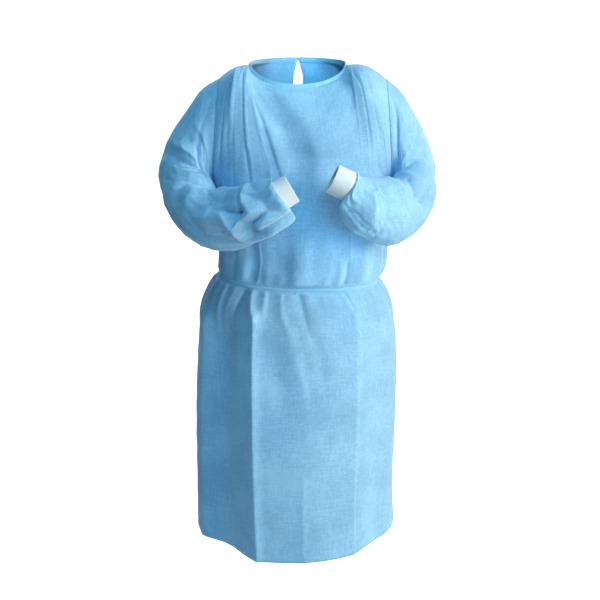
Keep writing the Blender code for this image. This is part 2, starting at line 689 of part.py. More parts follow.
def make_binding(cloth):
    columns = 4 * NECK_COLUMNS
    last = 180 - math.degrees(math.asin(BINDING_END / NECK_HALF_WIDTH))

    def place(column, row):
        turn = min(max(360 * column / columns - 180, -last), last)
        across = (1 - abs(abs(turn) / 90 - 1)) * NECK_SHARE
        height = top_gap(across) + BINDING_WIDTH * row
        return neck_loop(turn) + binding_direction(turn) * height

    return cloth_grid("neck_binding", columns, 1, place, cloth, BINDING_WALL, 0.0)


def panel_angles():
    """The angles of the corners of the panels, all the way round from back to back."""
    front = [90 * (i / HALF_COLUMNS - 1) for i in range(2 * HALF_COLUMNS + 1)]
    back = [back_angle(i, BELT_LEVEL) for i in range(1, HALF_COLUMNS + 1)]
    back = [angle for angle in back if angle < BELT_END_ANGLE - 1] + [BELT_END_ANGLE]
    return [-angle for angle in reversed(back)] + front + back


def make_belt(tape):
    """The belt lies on the panels, and at the back it climbs over their lap."""
    angles = panel_angles()

    def place(column, row):
        angle = angles[column]
        level = BELT_LEVEL + BELT_WIDTH * (row - 0.5) * 0.92
        climb = LAP_RAISE * smooth((abs(angle) - 160) / 8)
        return body_point(angle, level, SEAM_GAP + climb)

    return cloth_grid("belt", len(angles) - 1, 1, place, tape, BELT_WALL, 1.0)


def make_belt_tab(tape):
    """The short doubled end of the belt that is stitched on at the middle front."""
    step = 90 / HALF_COLUMNS
    low, high = BELT_LEVEL - BELT_WIDTH / 2 - 0.0166, BELT_LEVEL - BELT_WIDTH / 2
    top = 0.0005 / (high - low)
    bottom = top + BELT_TAB_WIDTH / (high - low)

    def place(column, row):
        angle = -1.0 if column == 0 else (column - 1) * step
        share = mix(bottom, top, row)
        lift = SEAM_GAP + 0.0009
        return body_point(angle, high, lift).lerp(body_point(angle, low, lift), share)

    return cloth_grid("belt_tab", 3, 1, place, tape, BELT_WALL, 1.0)


def make_knot(name, centre, size, tape):
    """A pulled knot, as a block with well rounded edges."""
    bm = bmesh.new()
    bmesh.ops.create_cube(bm, size=1.0)
    for vert in bm.verts:
        vert.co = centre + Vector([c * s for c, s in zip(vert.co, size)])
    bmesh.ops.bevel(
        bm,
        geom=bm.edges[:],
        offset=min(size) * 0.28,
        offset_type="OFFSET",
        segments=2,
        profile=0.5,
        affect="EDGES",
        material=-1,
    )
    return add_object(name, bm, tape)


def make_tail(name, side, start, length, width, spread, parting, tape):
    """A free end that hangs from a knot down the outside of the back.

    Just below the knot it steps aside by the parting, and then by the spread with its length.
    """
    rows = 10
    rise = read(BODY_SECTIONS, "dip", start.z)

    def place(column, row):
        drop = length * (1 - row / rows)
        behind = base_point(179.9, min(start.z - rise - drop, NECK_LEVEL))
        aside = width / 2 + spread * drop + parting * smooth(drop / 0.03)
        x = start.x + side * (0.0006 + aside) + (column - 0.5) * width
        y = max(start.y, behind.y + LAP_RAISE + 0.003)
        return Vector((x, y, mix(start.z, behind.z, smooth(drop / 0.03))))

    return cloth_grid(name, 1, rows, place, tape, BELT_WALL, 0.0)


def make_ties(tape):
    """The knots at the back, each with two tails."""
    behind = body_point(180, BELT_LEVEL, LAP_RAISE + SEAM_GAP)
    centre = behind + Vector((0, BELT_KNOT_SIZE[1] / 2 + 0.0015, 0))
    make_knot("belt_knot", centre, BELT_KNOT_SIZE, tape)
    start = centre - Vector((0, -BELT_KNOT_SIZE[1] / 4, BELT_KNOT_SIZE[2] / 2 + SEAM_GAP))
    make_tail("belt_tail_left", 1, start, BELT_TAIL_LENGTH, BELT_WIDTH, 0.10, 0.0, tape)
    make_tail("belt_tail_right", -1, start, BELT_TAIL_LENGTH, BELT_WIDTH, 0.06, 0.0, tape)

    middle = neck_point(1, 0, True)
    centre = middle + Vector((0, 0.002, SEAM_GAP + NECK_KNOT_SIZE[2] / 2))
    make_knot("neck_knot", centre, NECK_KNOT_SIZE, tape)
    start = centre + Vector((0, NECK_KNOT_SIZE[1] / 2 + BELT_WALL / 2 + SEAM_GAP, 0))
    tail = (start, NECK_TAIL_LENGTH, NECK_TAIL_WIDTH)
    make_tail("neck_tail_left", 1, *tail, 0.06, NECK_TAIL_PARTING, tape)
    make_tail("neck_tail_right", -1, *tail, 0.09, NECK_TAIL_PARTING, tape)


def build_gown():
    cloth = material("nonwoven_blue", (0.22, 0.55, 0.83), 0.75)
    knit = material("cuff_knit", (0.86, 0.88, 0.90), 0.85)
    tape = material("tie_blue", (0.27, 0.60, 0.86), 0.7)
    make_front(cloth)
    make_back("back_left", 1, cloth)
    make_back("back_right", -1, cloth)
    make_sleeve("sleeve_right", RIGHT_SLEEVE, RIGHT_SLEEVE_FOLDS, RIGHT_CUFF_MOUTH, cloth)
    make_sleeve("sleeve_left", LEFT_SLEEVE, LEFT_SLEEVE_FOLDS, LEFT_CUFF_MOUTH, cloth)
    make_cuff("cuff_right", RIGHT_SLEEVE, RIGHT_CUFF_MOUTH, knit)
    make_cuff("cuff_left", LEFT_SLEEVE, LEFT_CUFF_MOUTH, knit)
    make_binding(tape)
    make_belt(tape)
    make_belt_tab(tape)
    make_ties(tape)


for old in list(bpy.data.objects):
    bpy.data.objects.remove(old)
GOWN = bpy.data.collections.new("gown")
bpy.context.scene.collection.children.link(GOWN)
build_gown()
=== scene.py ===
# %% [markdown]
# # A disposable gown in Blender
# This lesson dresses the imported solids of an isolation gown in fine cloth. The solids say where
# every panel lies. Here each panel becomes a thin sheet with its creases, gathers and seams, and
# a nonwoven finish. The frame is loaded first, because every piece takes its place from it.

# %% Load the frame
import json
import math
from collections import namedtuple

import bmesh
import bpy
import numpy as np
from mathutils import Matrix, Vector
from mathutils.geometry import delaunay_2d_cdt

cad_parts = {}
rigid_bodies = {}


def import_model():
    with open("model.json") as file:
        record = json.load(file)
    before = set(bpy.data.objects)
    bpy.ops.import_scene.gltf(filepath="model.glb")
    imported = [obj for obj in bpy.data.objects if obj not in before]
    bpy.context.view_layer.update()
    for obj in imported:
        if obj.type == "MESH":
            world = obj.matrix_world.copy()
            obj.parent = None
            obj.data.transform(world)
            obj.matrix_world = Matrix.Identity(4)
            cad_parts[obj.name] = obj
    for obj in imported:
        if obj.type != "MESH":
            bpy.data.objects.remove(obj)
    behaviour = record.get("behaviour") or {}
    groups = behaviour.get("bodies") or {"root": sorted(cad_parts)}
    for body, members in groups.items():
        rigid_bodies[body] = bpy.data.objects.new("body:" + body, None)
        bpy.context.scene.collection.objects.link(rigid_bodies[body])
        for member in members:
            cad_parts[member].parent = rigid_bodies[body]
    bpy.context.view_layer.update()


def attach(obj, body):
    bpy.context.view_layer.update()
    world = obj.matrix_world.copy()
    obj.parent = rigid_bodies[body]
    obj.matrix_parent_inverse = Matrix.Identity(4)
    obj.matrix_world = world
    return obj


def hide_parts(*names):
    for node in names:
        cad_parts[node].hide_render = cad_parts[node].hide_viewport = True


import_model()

# %% [markdown]
# ## The camera
# The photograph was taken from in front, a little above the shoulders and looking down. A long
# lens keeps the hem from looking small. The camera comes first, so that every later step can be
# seen through it. The shift of a few pixels frames the gown as the photograph does.

# %% The camera
CAMERA_PLACE = Vector((0.0, -3.0, 0.1))
CAMERA_TILT = math.radians(77.8)
SENSOR_WIDTH = 36.0
FOCAL_LENGTH = 77.5
LENS_SHIFT = 0.0033


def add_object(name, data):
    made = bpy.data.objects.new(name, data)
    bpy.context.scene.collection.objects.link(made)
    return made


def add_camera():
    camera = add_object("camera", bpy.data.cameras.new("camera"))
    camera.location = CAMERA_PLACE
    camera.rotation_euler = (CAMERA_TILT, 0.0, 0.0)
    camera.data.sensor_width = SENSOR_WIDTH
    camera.data.lens = FOCAL_LENGTH
    camera.data.shift_x = LENS_SHIFT
    bpy.context.scene.camera = camera


add_camera()
print("The camera stands at", tuple(CAMERA_PLACE))

# %% [markdown]
# ## The studio
# A white sweep stands for the floor and the wall behind: one sheet that curves up, so no corner
# shows. Its floor is where a wearer's feet would stand. A big, low, warm lamp on the viewer's right
# shapes the folds. Thin blue cloth passes light on to itself, so the lamps that fill the shade have
# its colour. Two narrow ones reach inside the neck and between the cuffs, and two light the back.

# %% Helpers for finishes
SEEN_WHITE = (1.0, 1.0, 1.0)


def set_inputs(node, **values):
    """Sets sockets by name, with a _ for each space."""
    for label, value in values.items():
        node.inputs[label.replace("_", " ")].default_value = value


def add_node(tree, kind, **values):
    node = tree.nodes.new(f"ShaderNode{kind}")
    set_inputs(node, **values)
    return node


def link(tree, source, target):
    tree.links.new(source, target)


def mix_colours(tree, share, first, second):
    """A blend of two colours, by a share that another node gives."""
    blend = add_node(tree, "Mix")
    blend.data_type = "RGBA"
    set_inputs(blend, A=(*first, 1.0), B=(*second, 1.0))
    link(tree, share, blend.inputs["Factor"])
    return blend.outputs["Result"]


def plain_finish(name, colour, roughness):
    finish = bpy.data.materials.new(name)
    finish.use_nodes = True
    shader = finish.node_tree.nodes["Principled BSDF"]
    set_inputs(shader, Base_Color=(*colour, 1.0), Roughness=roughness)
    return finish


print("The camera sees the paper as", SEEN_WHITE)

# %% The floor and the backdrop
FLOOR_LEVEL = -1.45
SWEEP_DEPTH = 7.0
SWEEP_WIDTH = 16.0
SWEEP_HEIGHT = 7.0
SWEEP_RADIUS = 2.0
FLOOR_WHITE = (0.70, 0.71, 0.72)


def sweep_finish():
    """Paper that the camera sees as plain white, as in a cut-out product picture."""
    finish = plain_finish("floor_white", FLOOR_WHITE, roughness=0.9)
    tree = finish.node_tree
    shader = tree.nodes["Principled BSDF"]
    set_inputs(shader, Emission_Color=(*SEEN_WHITE, 1.0))
    seen = add_node(tree, "LightPath").outputs["Is Camera Ray"]
    link(tree, seen, shader.inputs["Emission Strength"])
    return finish


def add_sweep():
    bm = bmesh.new()
    bmesh.ops.create_grid(bm, x_segments=1, y_segments=40, size=0.5)
    for vert in bm.verts:
        run = (vert.co.y + 0.5) * (SWEEP_DEPTH + SWEEP_HEIGHT)
        turn = min(max((run - SWEEP_DEPTH) / SWEEP_RADIUS, 0.0), math.pi / 2)
        climb = max(run - SWEEP_DEPTH - SWEEP_RADIUS * math.pi / 2, 0.0)
        vert.co = (
            vert.co.x * SWEEP_WIDTH,
            min(run, SWEEP_DEPTH) - SWEEP_DEPTH / 2 - 0.5 + SWEEP_RADIUS * math.sin(turn),
            FLOOR_LEVEL + SWEEP_RADIUS * (1 - math.cos(turn)) + climb,
        )
    mesh = bpy.data.meshes.new("floor")
    bm.to_mesh(mesh)
    bm.free()
    mesh.shade_smooth()
    mesh.materials.append(sweep_finish())
    add_object("floor", mesh)


add_sweep()
print("The floor lies", -FLOOR_LEVEL, "m below the shoulders")

# %% The lights
Lamp = namedtuple("Lamp", "name place aim size power colour spread", defaults=(180.0,))
WARM = (1.0, 0.99, 0.82)
COOL = (0.70, 0.90, 1.0)
CLOTH_GLOW = (0.25, 0.78, 1.0)
LAMPS = (
    Lamp("key", (2.75, -1.65, 0.6), (0.0, 0.0, -0.45), 2.0, 116.0, WARM),
    Lamp("front_right", (1.0, -3.8, 1.4), (0.0, 0.0, -0.5), 1.0, 44.0, CLOTH_GLOW),
    Lamp("top", (-0.8, -1.1, 2.5), (0.0, -0.1, -0.2), 0.7, 30.0, CLOTH_GLOW),
    Lamp("top_right", (0.9, -1.3, 2.3), (0.1, -0.1, -0.1), 0.7, 7.0, WARM),
    Lamp("neck", (0.10, -1.3, 0.52), (0.01, 0.07, 0.0), 0.12, 0.085, CLOTH_GLOW, 9.0),
    Lamp("chest", (1.5, -1.7, -0.75), (0.11, -0.17, -0.40), 0.20, 0.045, CLOTH_GLOW, 8.0),
    Lamp("back", (-1.3, 3.3, 1.3), (0.0, 0.0, -0.5), 1.6, 48.0, COOL),
    Lamp("back_left", (2.6, 2.2, 0.6), (0.0, 0.0, -0.5), 1.6, 16.0, COOL),
)
WORLD_GREY = 0.09
WORLD_TINT = (0.30, 0.62, 1.0)


def add_lamp(row):
    light = bpy.data.lights.new(row.name, "AREA")
    light.size = row.size
    light.energy = row.power
    light.color = row.colour
    light.spread = math.radians(row.spread)
    lamp = add_object(row.name, light)
    lamp.location = row.place
    way = Vector(row.aim) - Vector(row.place)
    lamp.rotation_euler = way.to_track_quat("-Z", "Y").to_euler()


def add_world():
    """Dim bluish light from all round, and plain white where the camera looks past everything."""
    world = bpy.data.worlds.new("studio")
    world.use_nodes = True
    tree = world.node_tree
    dim = tuple(part * WORLD_GREY for part in WORLD_TINT)
    seen = add_node(tree, "LightPath").outputs["Is Camera Ray"]
    link(tree, mix_colours(tree, seen, dim, SEEN_WHITE), tree.nodes["Background"].inputs["Color"])
    bpy.context.scene.world = world
    bpy.context.scene.view_settings.view_transform = "Standard"


for lamp_row in LAMPS:
    add_lamp(lamp_row)
add_world()
print("Lamps:", ", ".join(row.name for row in LAMPS))

# %% [markdown]
# ## Reading a table on a smooth curve
# The body and the sleeves are described by short tables, one row for each section of the cloth.
# A tailor would join such sections with a flexible curve. Here a cubic does the same between any
# two rows, and it works on whole arrays of places at once, so a fine sheet takes no longer than
# a coarse one.

# %% Small helpers that work on numbers and on arrays


def smooth(share):
    """Eases from 0 to 1 as the share goes from 0 to 1."""
    share = np.clip(share, 0.0, 1.0)
    return share * share * (3 - 2 * share)


def mix(first, second, share):
    return first + (second - first) * share


def mix_points(first, second, share):
    return first + (second - first) * np.asarray(share)[..., None]


def table(kind, in_millimetres, *rows):
    """The rows as named tuples, with the columns that are given in millimetres put in metres."""
    made = []
    for row in rows:
        row = kind(*row)
        sizes = {column: getattr(row, column) / 1000 for column in in_millimetres}
        made.append(row._replace(**sizes))
    return tuple(made)


def circle(turn):
    """The sine and cosine of an angle in degrees."""
    return np.sin(np.radians(turn)), np.cos(np.radians(turn))


def points(x, y, z):
    return np.stack(np.broadcast_arrays(x, y, z), axis=-1).astype(float)


def unit(vectors):
    return vectors / np.linalg.norm(vectors, axis=-1, keepdims=True)


def bump(away, width):
    """A soft hill, 1 in its middle and near 0 at twice its width."""
    return np.exp(-((away / width) ** 2))


def read(rows, column, place):
    """One column of a table at places between its rows, on a smooth curve through them."""
    keys = np.array([row[0] for row in rows])
    values = np.array([getattr(row, column) for row in rows])
    last = len(rows) - 1
    order = np.arange(last + 1)
    before, after = np.maximum(order - 1, 0), np.minimum(order + 1, last)
    slopes = (values[after] - values[before]) / (keys[after] - keys[before])
    place = np.clip(place, keys[0], keys[-1])
    low = np.clip(np.searchsorted(keys, place, side="right") - 1, 0, last - 1)
    span = keys[low + 1] - keys[low]
    t = (place - keys[low]) / span
    return (
        values[low] * (1 + 2 * t) * (1 - t) ** 2
        + slopes[low] * span * t * (1 - t) ** 2
        + values[low + 1] * t * t * (3 - 2 * t)
        + slopes[low + 1] * span * t * t * (t - 1)
    )


print("Halfway, smooth gives", smooth(0.5), "and a tenth of the way", smooth(0.1).round(3))

# %% [markdown]
# ## The form of the body
# A worn gown is a tube from the hem to the armholes, and above them it narrows over the shoulders
# to the neckline. Any place on it has an angle, 0 at the middle front and 90 at the wearer's left
# side, and a level in metres below the shoulders. Nearly the same sizes shape the solids, so the
# cloth lies where they are.

# %% Sizes of the body
NECK_LEVEL = 0.0
UNDERARM_LEVEL = -0.275
BELT_LEVEL = -0.486
HEM_LEVEL = -1.121
HEM_RISE_LEFT = 0.022
HEM_RISE_RIGHT = 0.021
HEM_RISE_REACH = 0.30
NECK_HALF_WIDTH = 0.112
NECK_FRONT_DEPTH = 0.085
NECK_FRONT_DROP = 0.047
NECK_BACK_DEPTH = 0.072
NECK_BACK_RISE = 0.008
SHOULDER_SHIFT = 0.010
SHOULDER_HALF_WIDTH = 0.190
SHOULDER_DROP = 0.029
SHOULDER_ARCH_LEFT = 0.013
SHOULDER_ARCH_RIGHT = 0.009
ARMHOLE_FRONT = 0.088
ARMHOLE_BACK = 0.084
ARMHOLE_PULL = 0.45
NECK_SHARE = 6 / 14  # how much of a panel's half ends on the neckline
METRES_PER_DEGREE = 0.0036  # round the body, near enough for folds

BodySection = namedtuple(
    "BodySection", "level centre_x half_width front back squareness dip roll"
)
BODY_SECTIONS = table(
    BodySection,
    ("centre_x", "half_width", "front", "back", "dip", "roll"),
    (HEM_LEVEL, -6, 239, 200, 185, 2.05, 8, -4),
    (-1, -8, 237, 196, 182, 2.1, 4, 0),
    (-0.8, -5, 239, 186, 174, 2.2, 3, 0),
    (-0.64, -2, 234, 168, 160, 2.3, 6, 0),
    (-0.56, -3, 224, 152, 145, 2.25, 9, 2),
    (-0.52, -1, 208, 140, 130, 2.2, 11, 4),
    (BELT_LEVEL, 1, 187, 126, 112, 2.15, 13, 6),
    (-0.45, 9, 190, 132, 118, 2.2, 10, 4),
    (-0.38, 10, 193, 134, 122, 2.3, 4, 0),
    (UNDERARM_LEVEL, 10, 204, 130, 122, 2.5, 0, 0),
)
SECTION_SIZES = BodySection._fields[1:]

# The back edges stand this many degrees short of the middle. Below zero they lap.
BackEdge = namedtuple("BackEdge", "level angle")
BACK_EDGES = table(
    BackEdge,
    (),
    (HEM_LEVEL, -4.0),
    (-0.800, -6.5),
    (-0.530, -7.5),
    (BELT_LEVEL, -7.0),
    (-0.440, -3.0),
    (-0.380, 3.0),
    (-0.250, 8.0),
    (-0.120, 6.0),
    (-0.045, 3.0),
    (NECK_LEVEL, 0.4),
)
print("Sections of the body:", len(BODY_SECTIONS), "and places on a back edge:", len(BACK_EDGES))

# %% A section of the body


def signed_power(value, exponent):
    return np.sign(value) * np.abs(value) ** exponent


def hem_rise(angle, level):
    """The hem stands higher at the sides, most of all at the wearer's left."""
    sine, _ = circle(angle)
    near_hem = smooth((HEM_RISE_REACH - (level - HEM_LEVEL)) / HEM_RISE_REACH)
    return np.where(sine > 0, HEM_RISE_LEFT, HEM_RISE_RIGHT) * np.abs(sine) ** 3 * near_hem


def section_point(angle, level):
    """A point on the body's plain section, a rounded rectangle that dips and rolls."""
    sine, cosine = circle(angle)
    section = BodySection(level, *(read(BODY_SECTIONS, name, level) for name in SECTION_SIZES))
    exponent = 2 / section.squareness
    depth = np.where(cosine > 0, section.front, section.back)
    return points(
        section.centre_x + section.half_width * signed_power(sine, exponent),
        -depth * signed_power(cosine, exponent),
        level + hem_rise(angle, level) - section.dip * cosine - section.roll * sine,
    )


print("The left side of the hem is at", section_point(90.0, HEM_LEVEL).round(3))

# %% The neckline, the shoulder and the armhole


def neck_point(side, turn, back):
    """A point on the neckline: turn is 0 at the middle and 90 at the side neck point."""
    sine, cosine = circle(turn)
    depth = np.where(back, NECK_BACK_DEPTH, -NECK_FRONT_DEPTH)
    rise = np.where(back, NECK_BACK_RISE, -NECK_FRONT_DROP)
    return points(side * NECK_HALF_WIDTH * sine, depth * cosine, rise * cosine)


def shoulder_tip(side):
    return points(SHOULDER_SHIFT + side * SHOULDER_HALF_WIDTH, 0.0, -SHOULDER_DROP)


def armhole_point(side, turn):
    """A point on the armhole, with turn 0 at the shoulder tip, 90 at the front, 180 below."""
    sine, cosine = circle(turn)
    point = mix_points(
        section_point(side * 90, UNDERARM_LEVEL), shoulder_tip(side), (1 + cosine) / 2
    )
    point[..., 1] -= np.where(sine > 0, ARMHOLE_FRONT, ARMHOLE_BACK) * sine
    return point


def top_point(side, across, back):
    """The upper edge of a body panel: the neckline, then the shoulder seam."""
    share = np.clip((across - NECK_SHARE) / (1 - NECK_SHARE), 0, 1)
    seam = mix_points(neck_point(side, 90.0, back), shoulder_tip(side), share)
    arch = np.where(side > 0, SHOULDER_ARCH_LEFT, SHOULDER_ARCH_RIGHT)
    seam[..., 2] += arch * np.sin(np.pi * share)
    neckline = neck_point(side, 90 * np.minimum(across / NECK_SHARE, 1), back)
    return np.where((across <= NECK_SHARE)[..., None], neckline, seam)


print("The armhole comes forward to", armhole_point(1.0, 90.0).round(3))

# %% The body above the armholes


def rise_between(low, high, share, rounding):
    """A path up the chest. With rounding 1 it arrives level, as cloth does on a shoulder."""
    turn = share * np.pi / 2
    keep = mix(1 - share**1.6, np.cos(turn) ** 0.65, rounding)
    lift = mix(share, np.sin(turn), rounding)
    return points(
        mix(low[..., 0], high[..., 0], smooth(share)),
        mix(high[..., 1], low[..., 1], keep),
        mix(low[..., 2], high[..., 2], lift),
    )


def across_half(angle):
    """The share of the way from the middle of the front or the back to the side."""
    return (90 - np.abs(np.abs(angle) - 90)) / 90


def yoke_point(angle, level):
    """A point above the armholes, where the cloth narrows to the shoulders and the neck."""
    side = np.where(angle > 0, 1.0, -1.0)
    back = np.abs(angle) > 90
    across = across_half(angle)
    share = np.clip((level - UNDERARM_LEVEL) / (NECK_LEVEL - UNDERARM_LEVEL), 0, 1)
    point = rise_between(
        section_point(angle, UNDERARM_LEVEL),
        top_point(side, across, back),
        share,
        smooth(across / NECK_SHARE),
    )
    middle = rise_between(
        section_point(np.where(back, 180.0, 0.0), UNDERARM_LEVEL),
        top_point(side, across * 0, back),
        share,
        0.0,
    )
    edge = rise_between(
        section_point(side * 90, UNDERARM_LEVEL), shoulder_tip(side), share, 1.0
    )
    armhole = armhole_point(side, np.where(back, 180 * (1 + share), 180 * (1 - share)))
    pull = smooth((across - 1 + ARMHOLE_PULL) / ARMHOLE_PULL)[..., None]
    slope = point[..., 1] / middle[..., 1]
    deep = armhole[..., 1] + slope * (middle[..., 1] - armhole[..., 1])
    point = point + (armhole - edge) * pull
    point[..., 1] = deep
    return point


print("The middle of the yoke is at", yoke_point(np.array(0.0), -0.1).round(3))

# %% The whole plain surface


def plain_body(angle, level):
    """A point on the body without its folds."""
    angle, level = np.broadcast_arrays(np.asarray(angle, float), np.asarray(level, float))
    below = (level <= UNDERARM_LEVEL)[..., None]
    return np.where(below, section_point(angle, level), yoke_point(angle, level))


def body_normal(angle, level):
    """The direction out of the cloth."""
    low = np.minimum(level, NECK_LEVEL - 0.004)
    round_it = plain_body(angle + 0.5, low) - plain_body(angle - 0.5, low)
    up = plain_body(angle, low + 0.004) - plain_body(angle, low - 0.004)
    return unit(np.cross(round_it, up))


print("The hem is at", round(HEM_LEVEL, 3), "and the belt at", BELT_LEVEL)

# %% [markdown]
# ## Folds
# Thin nonwoven cloth keeps the creases of its pack, gathers under a belt and drapes in soft
# ridges from the places that carry it. Each fold is one row of a table: where it starts and ends,
# its height and half width in millimetres (below zero the height is a trough's), how sharp it is,
# how much it fades on the way, how far it leans, which makes one side steeper, and how far it bows.
# The photograph decides the rows, one by one, because even folds would look like corrugated card.

# %% How a row of a fold table shapes the cloth
Fold = namedtuple(
    "Fold", "across_1 along_1 across_2 along_2 height width sharp fade lean bow", defaults=(0,) * 4
)
FOLD_MILLIMETRES = ("height", "width", "bow")


def fold_profile(away, sharp):
    """1 at the fold's line and 0 far off: a rounded roll, or with sharp 1 a pressed crease."""
    return mix(np.exp(-(away**2)), np.exp(-1.3 * np.sqrt(away**2 + 0.01) + 0.13), sharp)


def fold_height(fold, across, along, across_size, along_size):
    """The height of one fold at places given in degrees or shares, scaled to metres."""
    x = (across - fold.across_1) * across_size
    y = (along - fold.along_1) * along_size
    run_x = (fold.across_2 - fold.across_1) * across_size
    run_y = (fold.along_2 - fold.along_1) * along_size
    length = math.hypot(run_x, run_y)
    share = (x * run_x + y * run_y) / length**2
    held = np.clip(share, 0, 1)
    beside = (x * run_y - y * run_x) / length - fold.bow * 4 * held * (1 - held)
    beyond = (share - held) * length
    reach = fold.width * (1 + fold.lean * np.tanh(2 * beside / fold.width))
    away = np.hypot(beside / reach, beyond / fold.width)
    strength = 1 - (1 - smooth((1 - held) / 0.5)) * fold.fade
    return fold.height * strength * fold_profile(away, fold.sharp)


def fold_sum(folds, across, along, across_size, along_size):
    total = np.zeros(np.broadcast(across, along).shape)
    for fold in folds:
        total += fold_height(fold, across, along, across_size, along_size)
    return total


print("At its half width a rounded fold keeps", fold_profile(1.0, 0.0).round(2), "of its height")

# %% [markdown]
# ### Crumples
# Paper-like cloth doesn't roll smoothly. It breaks into small flat facets with crisp edges. A few
# triangular waves that run in different directions, each bent and fading in and out, cross to
# give such facets. They stay low, so the placed folds still decide what is seen.

# %% Crumples
Crease = namedtuple("Crease", "heading spacing height phase bend patch")
CREASE_MILLIMETRES = ("spacing", "height", "patch")
FINE_CREASES = table(
    Crease,
    CREASE_MILLIMETRES,
    (8, 47, 0.8, 0.1, 0.45, 310),
    (97, 71, 0.8, 0.62, 0.4, 270),
    (38, 59, 0.6, 0.35, 0.55, 220),
    (141, 38, 0.5, 0.81, 0.5, 190),
)
SLEEVE_CREASES = table(
    Crease,
    CREASE_MILLIMETRES,
    (24, 24, 1.2, 0.2, 0.5, 140),
    (83, 33, 1.3, 0.55, 0.45, 170),
    (128, 19, 1, 0.05, 0.6, 110),
    (163, 41, 1.3, 0.74, 0.4, 210),
)


def crumple(creases, x, y):
    """Height of the facets at a place on the cloth in metres."""
    total = 0.0
    for row in creases:
        heading = math.radians(row.heading)
        across = x * math.cos(heading) + y * math.sin(heading)
        along = y * math.cos(heading) - x * math.sin(heading)
        bent = row.bend * np.sin(along * 2 * math.pi / (row.patch * 1.7) + row.phase * 9)
        place = across / row.spacing + row.phase + bent
        wave = np.abs(2 * (place - np.floor(place + 0.5))) - 0.5
        patch = 0.55 + 0.45 * np.sin(along * 7 / row.patch + across * 4 / row.patch + row.phase * 5)
        total = total + row.height * wave * patch
    return total


print("Heights of three places half a metre down:", crumple(FINE_CREASES, np.arange(3) / 50, -0.5).round(5))

# %% [markdown]
# ### Folds of the body
# The first rows are the straight creases of the pack. Then come the troughs that flatten the
# skirt between them, the fullness under the belt, the blousing above it, the drapes that hang from
# the side neck points, and the broad ridge across the chest. The back isn't in the photograph, so
# it gets similar folds.

